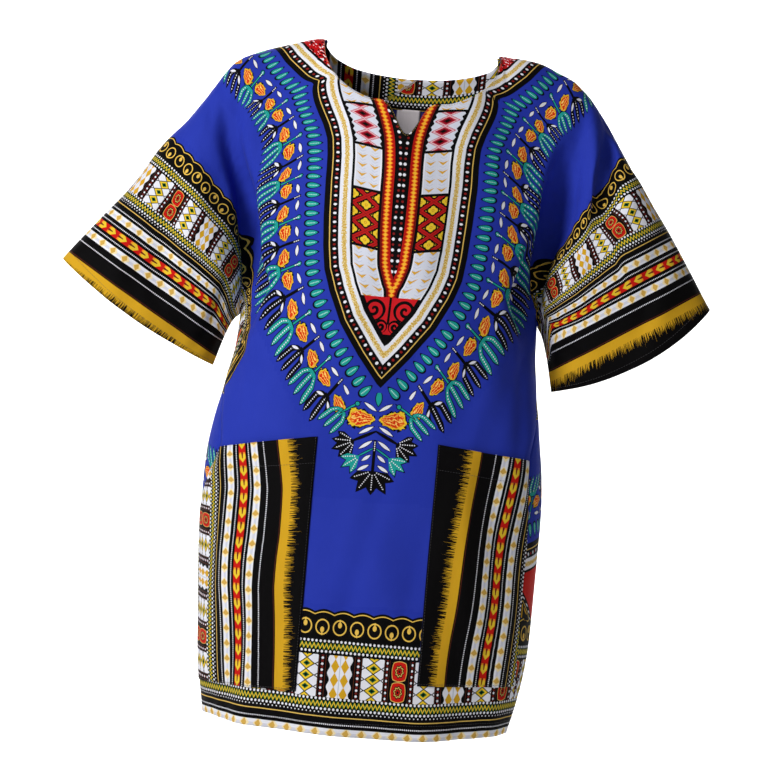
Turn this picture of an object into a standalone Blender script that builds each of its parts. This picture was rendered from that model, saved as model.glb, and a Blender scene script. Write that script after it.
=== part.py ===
"""A dashiki tunic-dress in the form it takes when worn, hollow, with nobody in it.

The cut is a front and a back, each with its half sleeves grown on. Seams run over the shoulders and
arms, under the arms and down the sides. Two patch pockets lie on the front and a facing strip and a
blank label lie inside the back neck. Every piece is a wall of cloth.

Metres, +Z up. The front faces -Y, and the origin is the middle of the neck at the height of the two
neck points. "Left" is the side at -X, as seen by someone who faces the front.
"""

import math

import bmesh
import bpy
import numpy as np
from mathutils import Vector

WALL = 0.0015  # thickness of the cloth of a panel, with its hems and its lining side
PATCH_WALL = 0.0012  # pockets and facing
LABEL_WALL = 0.0010
GAP = 0.0003  # between two pieces at a seam, and under a piece that lies on another
ROUND = 2.3  # exponent of the body's rings: 2 is an ellipse, more is squarer
DENSE = 160  # samples that a ring or a rib is measured on

# Neck opening: an oval with a V notch at the centre front.
NECK_HALF_WIDTH = 0.110
NECK_ROUND = 2.2
NECK_DROP = {"front": 0.083, "back": 0.031}
NOTCH_HALF_WIDTH = 0.025
NOTCH_DEPTH = 0.036

# Rings of the body, a row for each level: half widths to the two sides, depths to the front and the
# back, and the part of each half ring that the front panel takes, centre front to side seam. The
# side seams roll to the front at the hips, so the back shows past them.
RING_COLUMNS = ("z", "left", "right", "front", "back", "left_share", "right_share")
RINGS = (
    (-0.330, 0.187, 0.183, 0.136, 0.112, 0.512, 0.512),
    (-0.390, 0.190, 0.186, 0.131, 0.108, 0.506, 0.500),
    (-0.450, 0.203, 0.196, 0.127, 0.106, 0.450, 0.440),
    (-0.510, 0.212, 0.204, 0.130, 0.112, 0.388, 0.378),
    (-0.550, 0.214, 0.206, 0.133, 0.117, 0.428, 0.381),
    (-0.600, 0.215, 0.207, 0.136, 0.122, 0.490, 0.384),
    (-0.670, 0.212, 0.208, 0.139, 0.127, 0.512, 0.377),
    (-0.750, 0.205, 0.205, 0.140, 0.129, 0.512, 0.388),
    (-0.800, 0.199, 0.199, 0.140, 0.129, 0.507, 0.412),
    (-0.846, 0.192, 0.190, 0.139, 0.128, 0.500, 0.430),
)

# How far round the cloth from the centre front the pockets begin.
POCKET_START = {"left": 0.075, "right": 0.070}

# Overarm line, from the middle of the neck over the shoulder to the cuff. "across" is 0 at the
# centre, 0.5 at the neck point, 1 at the armhole line and 2 at the cuff.
OVERARM_COLUMNS = ("across", "left_x", "left_z", "right_x", "right_z")
OVERARM = (
    (0.00, 0.000, 0.010, 0.000, 0.010),
    (0.25, 0.055, 0.008, 0.055, 0.008),
    (0.50, 0.110, 0.000, 0.110, 0.000),
    (0.75, 0.166, -0.012, 0.168, -0.011),
    (1.00, 0.218, -0.038, 0.220, -0.038),
    (1.13, 0.244, -0.071, 0.246, -0.070),
    (1.28, 0.272, -0.111, 0.272, -0.109),
    (1.44, 0.302, -0.151, 0.300, -0.150),
    (1.59, 0.330, -0.192, 0.328, -0.188),
    (1.74, 0.359, -0.231, 0.353, -0.225),
    (1.89, 0.391, -0.271, 0.378, -0.264),
    (2.00, 0.414, -0.299, 0.396, -0.293),
)

# Underarm line, from the armpit to the lower corner of the cuff.
UNDERARM_COLUMNS = ("across", "left_x", "left_z", "right_x", "right_z")
UNDERARM = (
    (1.00, 0.187, -0.349, 0.182, -0.332),
    (1.25, 0.196, -0.358, 0.190, -0.345),
    (1.50, 0.203, -0.374, 0.197, -0.366),
    (2.00, 0.216, -0.416, 0.208, -0.413),
)

# Fullness of the ribs, the lines that run down a panel: how far each stands out to the front and to
# the back of the straight line between its ends.
FULLNESS_COLUMNS = ("across", "front", "back")
FULLNESS = (
    (0.00, 0.000, 0.000),
    (0.60, 0.000, 0.000),
    (0.80, 0.016, 0.020),
    (1.00, 0.054, 0.058),
    (1.25, 0.067, 0.068),
    (1.60, 0.061, 0.062),
    (2.00, 0.052, 0.054),
)
RIB_ROUND = 2.5  # exponent of a rib that ends on the body
SLEEVE_ROUND = 2.0  # exponent of a rib that goes round the arm
SLEEVE_TOP_SHARE = 0.78  # under 1 moves the fullest place up towards the arm

# Going out from the armhole line, the feet of the ribs come back to the middle of the arm over the
# first of these spans, and the droop of the cuff comes in over the second.
FOOT_SPAN = (1.0, 1.3)
DROOP_SPAN = (1.0, 1.9)

# How far the middle of a cuff's edge hangs below the straight line between its corners.
CUFF_DROOP = {
    "front": {"left": 0.009, "right": 0.020},
    "back": {"left": 0.010, "right": 0.012},
}

# Folds, a row for each place on a fold: x and z as seen from the front, how far the cloth is
# pushed in there (out if negative), the half width of the fold, and the sideways lean of the push.
FOLD_COLUMNS = ("x", "z", "depth", "half_width", "lean")
FOLDS = {
    "front": {
        "left_armhole_trough": (
            (-0.232, -0.070, 0.000, 0.020, 0.0),
            (-0.224, -0.120, 0.010, 0.022, 0.2),
            (-0.211, -0.185, 0.022, 0.022, 0.4),
            (-0.192, -0.260, 0.034, 0.020, 0.5),
            (-0.176, -0.318, 0.038, 0.017, 0.5),
            (-0.180, -0.352, 0.016, 0.016, 0.2),
            (-0.186, -0.390, 0.000, 0.014, 0.0),
        ),
        "left_sleeve_crease": (
            (-0.272, -0.130, 0.000, 0.014, 0.0),
            (-0.276, -0.190, 0.009, 0.015, 0.0),
            (-0.284, -0.255, 0.012, 0.016, 0.0),
            (-0.290, -0.330, 0.008, 0.018, 0.0),
            (-0.293, -0.370, 0.004, 0.020, 0.0),
        ),
        "left_chest_ridge": (
            (-0.205, -0.110, 0.000, 0.022, 0.0),
            (-0.183, -0.180, -0.008, 0.024, 0.0),
            (-0.163, -0.260, -0.011, 0.022, 0.0),
            (-0.150, -0.340, -0.006, 0.022, 0.0),
            (-0.146, -0.400, 0.000, 0.022, 0.0),
        ),
        "right_sleeve_step": (
            (0.246, -0.085, 0.000, 0.012, 0.0),
            (0.254, -0.120, 0.016, 0.013, -0.6),
            (0.258, -0.162, 0.019, 0.013, -0.7),
            (0.254, -0.205, 0.009, 0.014, -0.4),
            (0.248, -0.240, 0.000, 0.014, 0.0),
        ),
        "right_armhole_trough": (
            (0.214, -0.085, 0.000, 0.020, 0.0),
            (0.202, -0.140, 0.012, 0.022, -0.2),
            (0.192, -0.200, 0.024, 0.022, -0.4),
            (0.182, -0.260, 0.034, 0.020, -0.5),
            (0.172, -0.312, 0.034, 0.017, -0.5),
            (0.175, -0.345, 0.012, 0.016, -0.2),
            (0.181, -0.380, 0.000, 0.014, 0.0),
        ),
        "right_underarm_crease": (
            (0.205, -0.290, 0.000, 0.012, 0.0),
            (0.212, -0.335, 0.010, 0.013, 0.0),
            (0.222, -0.372, 0.007, 0.013, 0.0),
            (0.230, -0.400, 0.000, 0.014, 0.0),
        ),
        "left_hem_wave": (
            (-0.158, -0.640, 0.000, 0.026, 0.0),
            (-0.163, -0.740, 0.006, 0.024, 0.0),
            (-0.166, -0.850, 0.011, 0.022, 0.0),
        ),
        "left_inner_hem_wave": (
            (-0.098, -0.650, 0.000, 0.028, 0.0),
            (-0.094, -0.750, 0.004, 0.026, 0.0),
            (-0.092, -0.850, 0.008, 0.024, 0.0),
        ),
        "right_hem_wave": (
            (0.118, -0.620, 0.000, 0.028, 0.0),
            (0.125, -0.740, 0.006, 0.026, 0.0),
            (0.129, -0.850, 0.010, 0.024, 0.0),
        ),
    },
    "back": {
        "left_armhole_trough": (
            (-0.230, -0.075, 0.000, 0.022, 0.0),
            (-0.216, -0.150, 0.014, 0.024, 0.2),
            (-0.200, -0.230, 0.024, 0.024, 0.3),
            (-0.182, -0.305, 0.028, 0.020, 0.4),
            (-0.184, -0.350, 0.010, 0.016, 0.1),
            (-0.188, -0.390, 0.000, 0.014, 0.0),
        ),
        "right_armhole_trough": (
            (0.226, -0.070, 0.000, 0.022, 0.0),
            (0.212, -0.140, 0.012, 0.024, -0.2),
            (0.196, -0.215, 0.026, 0.024, -0.3),
            (0.178, -0.300, 0.030, 0.020, -0.4),
            (0.178, -0.340, 0.010, 0.016, -0.1),
            (0.182, -0.380, 0.000, 0.014, 0.0),
        ),
        "left_sleeve_crease": (
            (-0.262, -0.120, 0.000, 0.016, 0.0),
            (-0.276, -0.200, 0.010, 0.017, 0.0),
            (-0.286, -0.290, 0.008, 0.018, 0.0),
            (-0.292, -0.360, 0.003, 0.020, 0.0),
        ),
        "right_sleeve_crease": (
            (0.258, -0.110, 0.000, 0.016, 0.0),
            (0.268, -0.180, 0.011, 0.016, 0.0),
            (0.272, -0.260, 0.009, 0.018, 0.0),
            (0.276, -0.340, 0.003, 0.020, 0.0),
        ),
        "waist_fold": (
            (-0.060, -0.330, 0.000, 0.030, 0.0),
            (-0.050, -0.450, 0.006, 0.030, 0.0),
            (-0.058, -0.600, 0.005, 0.032, 0.0),
            (-0.062, -0.720, 0.000, 0.034, 0.0),
        ),
        "left_hem_wave": (
            (-0.130, -0.560, 0.000, 0.030, 0.0),
            (-0.136, -0.700, 0.007, 0.028, 0.0),
            (-0.140, -0.850, 0.013, 0.026, 0.0),
        ),
        "middle_hem_wave": (
            (0.010, -0.600, 0.000, 0.034, 0.0),
            (0.014, -0.720, 0.006, 0.032, 0.0),
            (0.016, -0.850, 0.011, 0.030, 0.0),
        ),
        "right_hem_wave": (
            (0.110, -0.500, 0.000, 0.030, 0.0),
            (0.120, -0.680, 0.008, 0.028, 0.0),
            (0.126, -0.850, 0.012, 0.026, 0.0),
        ),
    },
}

# A fold is pushed towards the body's axis on the body and straight back on a sleeve. The change is
# spread over a span across the panel and over one of height. Folds come in over a span of depth from
# the plane of the seams above the armpits, and over a span across from the side seams below them.
SLEEVE_SPAN = (0.6, 1.0)
SLEEVE_HEIGHTS = (-0.440, -0.350)
SEAM_DEPTHS = (0.008, 0.044)
SIDE_SPAN = (0.0, 0.12)

# Grid of a panel. Columns run from the centre to the cuff, and the same ones go to the left. On the
# body they fan out below the neck: a column's place is measured at the armpit level, where the one
# from the neck point is at NECK_COLUMN and the one from the notch's corner at NOTCH_COLUMN.
NOTCH_COLUMN = 0.122
POCKET_COLUMN = 0.285
NECK_COLUMN = 0.68
BODY_COLUMNS = (
    NOTCH_COLUMN, 0.205, POCKET_COLUMN, 0.38, 0.48, 0.58, NECK_COLUMN,
    0.76, 0.83, 0.89, 0.945, 1.0,
)
SLEEVE_COLUMNS = (1.05, 1.10, 1.15, 1.21, 1.29, 1.40, 1.52, 1.64, 1.76, 1.88, 2.0)
HALF_COLUMNS = (0.0,) + BODY_COLUMNS + SLEEVE_COLUMNS
NECK_POINT = 0.5  # where the overarm line has the neck point
SHEET_RIBS = 80  # ribs that the upper part is measured on before the neck is cut

# Rows of the upper part: the first two are this far from the top edge, so that the facing ends on
# the second. The rest divide what is left down to the armpit level evenly.
FACING_DEPTH = 0.034
TOP_ROWS = (0.0, 0.016, FACING_DEPTH)
EVEN_ROWS = 10

# Rows of the lower part: the heights that some rows have at the centre, at the pockets' inner edges
# and at the side seams. The rows between them are spaced evenly. The pockets' edges are rows too.
POCKET_ROWS = {"top": 4, "bottom": 12}
ROW_COLUMNS = ("row", "middle", "left_pocket", "left_seam", "right_pocket", "right_seam")
LOWER_ROWS = (
    (0, -0.341, -0.341, -0.349, -0.341, -0.332),
    (4, -0.490, -0.491, -0.515, -0.488, -0.500),
    (12, -0.788, -0.797, -0.806, -0.778, -0.776),
    (14, -0.846, -0.846, -0.846, -0.846, -0.837),
)

LABEL_HALF_WIDTH_COLUMN = 0.07  # in the same measure as the columns: 15 mm
LABEL_LENGTH = 0.036

COLOURS = {  # base colour, roughness
    "front": ((0.030, 0.052, 0.450, 1.0), 0.80),
    "back": ((0.026, 0.045, 0.400, 1.0), 0.80),
    "pocket": ((0.012, 0.010, 0.010, 1.0), 0.80),
    "neck_facing": ((0.400, 0.020, 0.015, 1.0), 0.82),
    "label": ((0.780, 0.770, 0.740, 1.0), 0.85),
}


def table(rows, columns):
    """The rows as one array for each named column."""
    return dict(zip(columns, np.array(rows).T))


def through(keys, values, at):
    """Values at any place on a smooth curve through the rows of a table."""
    slopes = np.gradient(values, keys)
    at = np.clip(at, keys[0], keys[-1])
    i = np.clip(np.searchsorted(keys, at, side="right") - 1, 0, len(keys) - 2)
    step = keys[i + 1] - keys[i]
    t = (at - keys[i]) / step
    start = (1 + 2 * t) * (1 - t) ** 2 * values[i] + t * (1 - t) ** 2 * step * slopes[i]
    end = t * t * (3 - 2 * t) * values[i + 1] - t * t * (1 - t) * step * slopes[i + 1]
    return start + end


def ease(t):
    """A smooth step from 0 to 1."""
    t = np.clip(t, 0.0, 1.0)
    return t * t * (3 - 2 * t)


def rise(value, span):
    """A smooth step from 0 at the start of a span to 1 at its end."""
    return ease((value - span[0]) / (span[1] - span[0]))


def arc_lengths(points):
    steps = np.linalg.norm(np.diff(points, axis=0), axis=1)
    return np.concatenate(([0.0], np.cumsum(steps)))


RING = table(RINGS[::-1], RING_COLUMNS)
ARM = table(OVERARM, OVERARM_COLUMNS)
UNDER = table(UNDERARM, UNDERARM_COLUMNS)
FULL = table(FULLNESS, FULLNESS_COLUMNS)
ROWS = table(LOWER_ROWS, ROW_COLUMNS)


def unit(vector):
    return vector / np.linalg.norm(vector)


def side_name(side):
    return "left" if side < 0 else "right"


def half_ring(z, side):
    """One half of the body's ring at a height, from the centre front to the centre back."""
    angle = np.linspace(0.0, math.pi, 2 * DENSE + 1)
    power = 2.0 / ROUND
    width = through(RING["z"], RING[side_name(side)], z)
    depth = np.where(
        angle <= math.pi / 2,
        through(RING["z"], RING["front"], z),
        through(RING["z"], RING["back"], z),
    )
    x = side * width * np.abs(np.sin(angle)) ** power
    y = -depth * np.sign(np.cos(angle)) * np.abs(np.cos(angle)) ** power
    return np.column_stack((x, y, np.full_like(x, z)))


def body_point(across, z, side, face):
    """The point of a panel at a place round its own half ring, 0 at the centre and 1 at the seam."""
    ring = half_ring(z, side)
    length = arc_lengths(ring)
    whole = length[-1]
    seam = whole * through(RING["z"], RING[side_name(side) + "_share"], z)
    if face == "front":
        start = POCKET_START[side_name(side)]
        place = np.interp(across, (0.0, POCKET_COLUMN, 1.0), (0.0, start, seam))
    else:
        place = whole - across * (whole - seam)
    return np.array([np.interp(place, length, ring[:, k]) for k in range(3)])


def row_height(across, row, side):
    """The height of a row of the lower part, at a place between the centre and the side seam."""
    name = side_name(side)
    middle, pocket, seam = (
        np.interp(row, ROWS["row"], ROWS[key]) for key in ("middle", name + "_pocket", name + "_seam")
    )
    if across < POCKET_COLUMN:
        return middle + (pocket - middle) * ease(across / POCKET_COLUMN)
    return pocket + (seam - pocket) * (across - POCKET_COLUMN) / (1.0 - POCKET_COLUMN)


def neck_height(x, face):
    """The height of the neck's edge above a place on its width."""
    x = np.abs(x)
    inside = np.clip(1.0 - (x / NECK_HALF_WIDTH) ** NECK_ROUND, 0.0, 1.0)
    edge = -NECK_DROP[face] * inside ** (1.0 / NECK_ROUND)
    if face == "front":
        edge = edge - NOTCH_DEPTH * np.clip(1.0 - x / NOTCH_HALF_WIDTH, 0.0, 1.0)
    return edge


def rib(across, side, face):
    """The line that runs down a panel from its top edge to the armpit level or the underarm seam."""
    name = side_name(side)
    top = np.array([side * through(ARM["across"], ARM[name + "_x"], across), 0.0,
                    through(ARM["across"], ARM[name + "_z"], across)])
    if across <= 1.0:
        foot = body_point(across, row_height(across, 0, side), side, face)
    else:
        foot = np.array([side * through(UNDER["across"], UNDER[name + "_x"], across), 0.0,
                         through(UNDER["across"], UNDER[name + "_z"], across)])
        armpit = body_point(1.0, row_height(1.0, 0, side), side, face)
        foot[1] = armpit[1] * (1 - rise(across, FOOT_SPAN))
    t = (1 - np.cos(np.linspace(0.0, math.pi, DENSE))) / 2
    body = (1 - (1 - t) ** RIB_ROUND) ** (1 / RIB_ROUND)
    skewed = 2 * t**SLEEVE_TOP_SHARE - 1
    sleeve = np.clip(1 - np.abs(skewed) ** SLEEVE_ROUND, 0.0, 1.0) ** (1 / SLEEVE_ROUND)
    out = -1.0 if face == "front" else 1.0
    line = top + (foot - top) * t[:, None]
    line[:, 1] = foot[1] * body + out * through(FULL["across"], FULL[face], across) * sleeve
    chord = unit(foot - top)
    down_arm = np.array([-chord[2] * side, 0.0, chord[0] * side])
    droop = CUFF_DROOP[face][name] * rise(across, DROOP_SPAN)
    return line + down_arm * (droop * 4 * t * (1 - t))[:, None]


def along(line, places):
    """The points at some lengths along a line."""
    length = arc_lengths(line)
    return np.column_stack([np.interp(places, length, line[:, k]) for k in range(line.shape[1])])


def uncut_sheet(side, face):
    """The upper part of a panel's body before the neck is cut, as evenly measured ribs."""
    ribs = [rib(across, side, face) for across in np.linspace(0.0, 1.0, SHEET_RIBS + 1)]
    return np.array([along(line, np.linspace(0.0, arc_lengths(line)[-1], DENSE)) for line in ribs])


def on_sheet(sheet, across, down):
    """Points of the uncut sheet, at places from 0 to 1 across it and down it."""
    u, v = across * SHEET_RIBS, down * (DENSE - 1)
    i = np.clip(np.floor(u).astype(int), 0, SHEET_RIBS - 1)
    j = np.clip(np.floor(v).astype(int), 0, DENSE - 2)
    s, t = (u - i)[..., None], (v - j)[..., None]
    near = (1 - t) * sheet[i, j] + t * sheet[i, j + 1]
    far = (1 - t) * sheet[i + 1, j] + t * sheet[i + 1, j + 1]
    return (1 - s) * near + s * far


def neck_edge(sheet, face):
    """The neck's edge from the centre to the neck point: rows of across, down, x, y and z."""
    down = np.linspace(0.0, 1.0, 4 * DENSE)
    edge = []
    for across in NECK_POINT * np.sin(np.linspace(0.0, math.pi / 2, 2 * DENSE)):
        line = on_sheet(sheet, np.full_like(down, across), down)
        above = line[:, 2] - neck_height(line[:, 0], face)
        k = max(int(np.argmax(above <= 0.0)), 1)
        share = np.clip(above[k - 1] / (above[k - 1] - above[k]), 0.0, 1.0)
        edge.append((across, down[k - 1] + share * (down[k] - down[k - 1])))
    edge[-1] = (NECK_POINT, 0.0)
    edge = np.array(edge)
    return np.column_stack((edge, on_sheet(sheet, edge[:, 0], edge[:, 1])))


def column_start(across, edge):
    """Where a column begins: its place across the sheet and down it."""
    if across >= NECK_COLUMN:
        return NECK_POINT + (1.0 - NECK_POINT) * (across - NECK_COLUMN) / (1.0 - NECK_COLUMN), 0.0
    length = arc_lengths(edge[:, 2:])
    corner = float(np.interp(NOTCH_HALF_WIDTH, np.abs(edge[:, 2]), length))
    place = np.interp(across, (0.0, NOTCH_COLUMN, NECK_COLUMN), (0.0, corner, length[-1]))
    return float(np.interp(place, length, edge[:, 0])), float(np.interp(place, length, edge[:, 1]))


def upper_points(across, side, face, sheet, edge):
    """The points of one column of the grid, from the top edge to the armpit level."""
    if across > 1.0:
        line = rib(across, side, face)
    else:
        first_across, first_down = column_start(across, edge)
        share = np.linspace(0.0, 1.0, DENSE)
        fan = 1 - (1 - share) ** 2
        places_across = first_across + (across - first_across) * fan
        line = on_sheet(sheet, places_across, first_down + (1 - first_down) * share)
    whole = arc_lengths(line)[-1]
    even = np.linspace(TOP_ROWS[-1], whole, EVEN_ROWS + 1)[1:]
    return along(line, np.concatenate((TOP_ROWS, even)))


def fold_push(point, across, face):
    """How far the folds move a point of a panel, as a vector."""
    x, y, z = point
    out = -1.0 if face == "front" else 1.0
    width = through(RING["z"], RING[side_name(x)], z)
    depth = through(RING["z"], RING[face], z)
    radial = np.array([x / width**2, y / depth**2])
    radial /= np.linalg.norm(radial) + 1e-9
    sleeve = rise(across, SLEEVE_SPAN) * rise(z, SLEEVE_HEIGHTS)
    inward = -(1 - sleeve) * radial + sleeve * np.array([0.0, -out])
    if z > ROWS["middle"][0]:
        clear_of_seam = rise(abs(y), SEAM_DEPTHS)
    else:
        clear_of_seam = rise(1 - across, SIDE_SPAN)
    push = np.zeros(3)
    for rows in FOLDS[face].values():
        fold = table(rows, FOLD_COLUMNS)
        t = np.linspace(0, len(rows) - 1, 8 * len(rows))
        place = {name: np.interp(t, np.arange(len(rows)), fold[name]) for name in FOLD_COLUMNS}
        away = np.hypot(place["x"] - x, place["z"] - z)
        k = int(np.argmin(away))
        amount = place["depth"][k] * math.exp(-((away[k] / place["half_width"][k]) ** 2))
        push += amount * clear_of_seam * np.array([inward[0] + place["lean"][k], inward[1], 0.0])
    return push


def panel_grid(face):
    """All the outer points of a panel, in columns from the left cuff to the right one."""
    halves = {}
    for side in (-1, 1):
        half = []
        sheet = uncut_sheet(side, face)
        edge = neck_edge(sheet, face)
        for across in HALF_COLUMNS:
            points = list(upper_points(across, side, face, sheet, edge))
            if across <= 1.0:
                rows = range(1, LAST_ROW + 1)
                points += [body_point(across, row_height(across, row, side), side, face) for row in rows]
            half.append([p + fold_push(p, across, face) for p in points])
        halves[side] = half
    centre = [(a + b) / 2 for a, b in zip(halves[-1][0], halves[1][0])]
    return halves[-1][:0:-1] + [centre] + halves[1][1:]


ACROSS = [-a for a in HALF_COLUMNS[:0:-1]] + list(HALF_COLUMNS)
ARMPIT_ROW = len(TOP_ROWS) - 1 + EVEN_ROWS
LAST_ROW = LOWER_ROWS[-1][0]


def cells(grid):
    """The grid's four-cornered faces, as pairs of column and row."""
    for i in range(len(grid) - 1):
        for j in range(min(len(grid[i]), len(grid[i + 1])) - 1):
            yield (i, j), (i + 1, j), (i + 1, j + 1), (i, j + 1)


def point_normals(grid, face):
    """A normal for each point, pointing out of the dress."""
    turn = -1.0 if face == "front" else 1.0
    normals = [[np.zeros(3) for _ in column] for column in grid]
    for corners in cells(grid):
        a, b, c, d = (grid[i][j] for i, j in corners)
        normal = turn * np.cross(b - d, c - a)
        for i, j in corners:
            normals[i][j] += normal
    return normals


def on_seam(i, j):
    across = abs(ACROSS[i])
    top = j == 0 and across >= NECK_COLUMN
    under = j == ARMPIT_ROW and across >= 1.0
    side = j > ARMPIT_ROW and across >= 1.0
    return top or under or side


def shared_normals(grids):
    """Normals of both panels. At a seam the two share one, so their edges stay side by side."""
    normals = {face: point_normals(grids[face], face) for face in grids}
    for i, column in enumerate(grids["front"]):
        for j in range(len(column)):
            pair = [unit(normals[face][i][j]) for face in ("front", "back")]
            if on_seam(i, j):
                pair = [unit(pair[0] + pair[1])] * 2
            normals["front"][i][j], normals["back"][i][j] = pair
    return normals


def open_seams(grids):
    """Draws each panel's seam edges back by half of the gap."""
    for face, grid in grids.items():
        out = np.array([0.0, -1.0 if face == "front" else 1.0, 0.0])
        whole = [list(column) for column in grid]
        for i, column in enumerate(whole):
            for j, point in enumerate(column):
                if not on_seam(i, j):
                    continue
                away = out
                if j > ARMPIT_ROW:
                    beside = whole[i + 1][j] if ACROSS[i] < 0 else whole[i - 1][j]
                    away = unit(beside - point)
                grid[i][j] = point + away * GAP / 2


def wall(name, outer, inner, kind, flip):
    """A closed wall between two grids of points, as one object."""
    bm = bmesh.new()
    skins = []
    for grid in (outer, inner):
        skins.append([[bm.verts.new(Vector(p)) for p in column] for column in grid])
    for skin, turn in zip(skins, (flip, not flip)):
        for corners in cells(outer):
            a, b, c, d = (skin[i][j] for i, j in corners)
            for three in ((a, b, c), (a, c, d)):
                bm.faces.new(three if turn else three[::-1])
    twin = {v: w for c1, c2 in zip(*skins) for v, w in zip(c1, c2)}
    for edge in [e for e in bm.edges if len(e.link_faces) == 1 and e.verts[0] in twin]:
        loop = edge.link_loops[0]
        a, b = loop.vert, loop.link_loop_next.vert
        bm.faces.new((b, a, twin[a]))
        bm.faces.new((b, twin[a], twin[b]))
    mesh = bpy.data.meshes.new(name)
    bm.to_mesh(mesh)
    bm.free()
    mesh.shade_smooth()
    mesh.materials.append(cloth(kind))
    piece = bpy.data.objects.new(name, mesh)
    bpy.context.scene.collection.objects.link(piece)
    return piece


def cloth(kind):
    """The piece's own plain cloth."""
    material = bpy.data.materials.new(kind + "_cloth")
    material.use_nodes = True
    shader = material.node_tree.nodes["Principled BSDF"]
    colour, roughness = COLOURS[kind]
    shader.inputs["Base Color"].default_value = colour
    shader.inputs["Roughness"].default_value = roughness
    shader.inputs["Metallic"].default_value = 0.0
    return material


def moved(grid, normals, by):
    """A grid's points moved along their normals."""
    return [[p + n * by for p, n in zip(*pair)] for pair in zip(grid, normals)]


def part_of(grid, columns, rows):
    return [list(column[rows]) for column in grid[columns]]


def between(grid, i, j):
    """The point at a place between the grid's columns and rows."""
    a, b = int(math.floor(i)), int(math.floor(j))
    s, t = i - a, j - b
    near = (1 - t) * grid[a][b] + t * grid[a][b + 1]
    if s == 0:
        return near
    return (1 - s) * near + s * ((1 - t) * grid[a + 1][b] + t * grid[a + 1][b + 1])


def add_panels(grids, normals):
    for face, grid in grids.items():
        inner = moved(grid, normals[face], -WALL)
        wall(face, grid, inner, face, flip=face == "back")


def add_pockets(grid, normals):
    """Two patch pockets, made from the front's points and run out to the side seams."""
    centre = len(HALF_COLUMNS) - 1
    first = HALF_COLUMNS.index(POCKET_COLUMN)
    last = HALF_COLUMNS.index(1.0)
    rows = slice(ARMPIT_ROW + POCKET_ROWS["top"], ARMPIT_ROW + POCKET_ROWS["bottom"] + 1)
    spans = {
        "pocket_left": slice(centre - last, centre - first + 1),
        "pocket_right": slice(centre + first, centre + last + 1),
    }
    for name, columns in spans.items():
        patch = part_of(grid, columns, rows)
        out = part_of(normals, columns, rows)
        wall(name, moved(patch, out, GAP + PATCH_WALL), moved(patch, out, GAP), "pocket", flip=False)


def add_facing(grid, normals):
    """The strip inside the back neck, made from the back's points, moved in."""
    centre = len(HALF_COLUMNS) - 1
    neck = HALF_COLUMNS.index(NECK_COLUMN)
    columns, rows = slice(centre - neck, centre + neck + 1), slice(0, len(TOP_ROWS))
    patch, out = part_of(grid, columns, rows), part_of(normals, columns, rows)
    near = moved(patch, out, -WALL - GAP)
    far = moved(patch, out, -WALL - GAP - PATCH_WALL)
    wall("neck_facing", near, far, "neck_facing", flip=True)


def add_label(grid, normals):
    """The blank label that hangs from the facing's lower edge at the centre back."""
    centre = len(HALF_COLUMNS) - 1
    reach = LABEL_HALF_WIDTH_COLUMN / NOTCH_COLUMN
    first_row = len(TOP_ROWS) - 1
    step = np.linalg.norm(grid[centre][first_row + 1] - grid[centre][first_row])
    bend = 0.999  # just before the next row of the grid, where the cloth bends
    rows = [first_row + part for part in (GAP / step, bend / 2, bend, LABEL_LENGTH / step)]
    near, far = [], []
    for i in (centre - reach, centre, centre + reach):
        for skin, by in ((near, WALL + 2 * GAP), (far, WALL + 2 * GAP + LABEL_WALL)):
            skin.append([between(grid, i, j) - unit(between(normals, i, j)) * by for j in rows])
    wall("label", near, far, "label", flip=True)


def main():
    for thing in list(bpy.data.objects):
        bpy.data.objects.remove(thing, do_unlink=True)
    grids = {face: panel_grid(face) for face in ("front", "back")}
    normals = shared_normals(grids)
    open_seams(grids)
    add_panels(grids, normals)
    add_pockets(grids["front"], normals["front"])
    add_facing(grids["back"], normals["back"])
    add_label(grids["back"], normals["back"])


main()
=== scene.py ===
# %% [markdown]
# # A dashiki tunic-dress
#
# A dashiki is a loose tunic cut from one printed cotton panel. The print is made for the garment: a
# framed yoke round the neck, garlands of leaves and flowers round the yoke, and striped borders that
# end up on the sleeves, the hem and here also on two pockets.
#
# The cloth is modelled as the form it takes when worn, with nobody in it. Every sheet is one grid of
# points that is bent to that form, and the print is drawn on it by shader nodes which read distances
# on the cloth, such as "so far from the cuff". That is how such a print is laid out too.

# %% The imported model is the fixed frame
import math

import bmesh
import bpy
import numpy as np
from mathutils import Matrix, Vector


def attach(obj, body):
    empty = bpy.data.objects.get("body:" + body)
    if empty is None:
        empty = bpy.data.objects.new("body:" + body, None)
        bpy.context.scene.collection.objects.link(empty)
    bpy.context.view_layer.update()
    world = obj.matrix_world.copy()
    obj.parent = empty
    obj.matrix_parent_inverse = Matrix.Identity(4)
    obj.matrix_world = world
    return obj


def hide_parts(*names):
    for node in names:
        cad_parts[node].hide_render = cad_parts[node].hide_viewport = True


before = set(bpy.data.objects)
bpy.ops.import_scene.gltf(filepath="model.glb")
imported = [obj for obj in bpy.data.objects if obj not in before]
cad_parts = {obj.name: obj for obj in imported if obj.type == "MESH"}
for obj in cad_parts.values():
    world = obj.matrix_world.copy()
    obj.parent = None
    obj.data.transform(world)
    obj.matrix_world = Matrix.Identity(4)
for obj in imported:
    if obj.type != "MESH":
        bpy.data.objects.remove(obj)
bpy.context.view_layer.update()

# %% [markdown]
# ## The worn form
#
# The same named sizes as in the part: rings of the body, the overarm and underarm lines, how full the
# cloth stands between them, and the largest folds. All are in metres. "Left" is the side at -X.

# %% Sizes of the worn form
ROUND = 2.3
DENSE = 160
NECK_HALF_WIDTH = 0.110
NECK_ROUND = 2.2
NECK_DROP = {"front": 0.083, "back": 0.031}
NOTCH_HALF_WIDTH = 0.025
NOTCH_DEPTH = 0.036
POCKET_START = {"left": 0.075, "right": 0.070}
RIB_ROUND = 2.5
SLEEVE_ROUND = 2.0
SLEEVE_TOP_SHARE = 0.78

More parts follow.
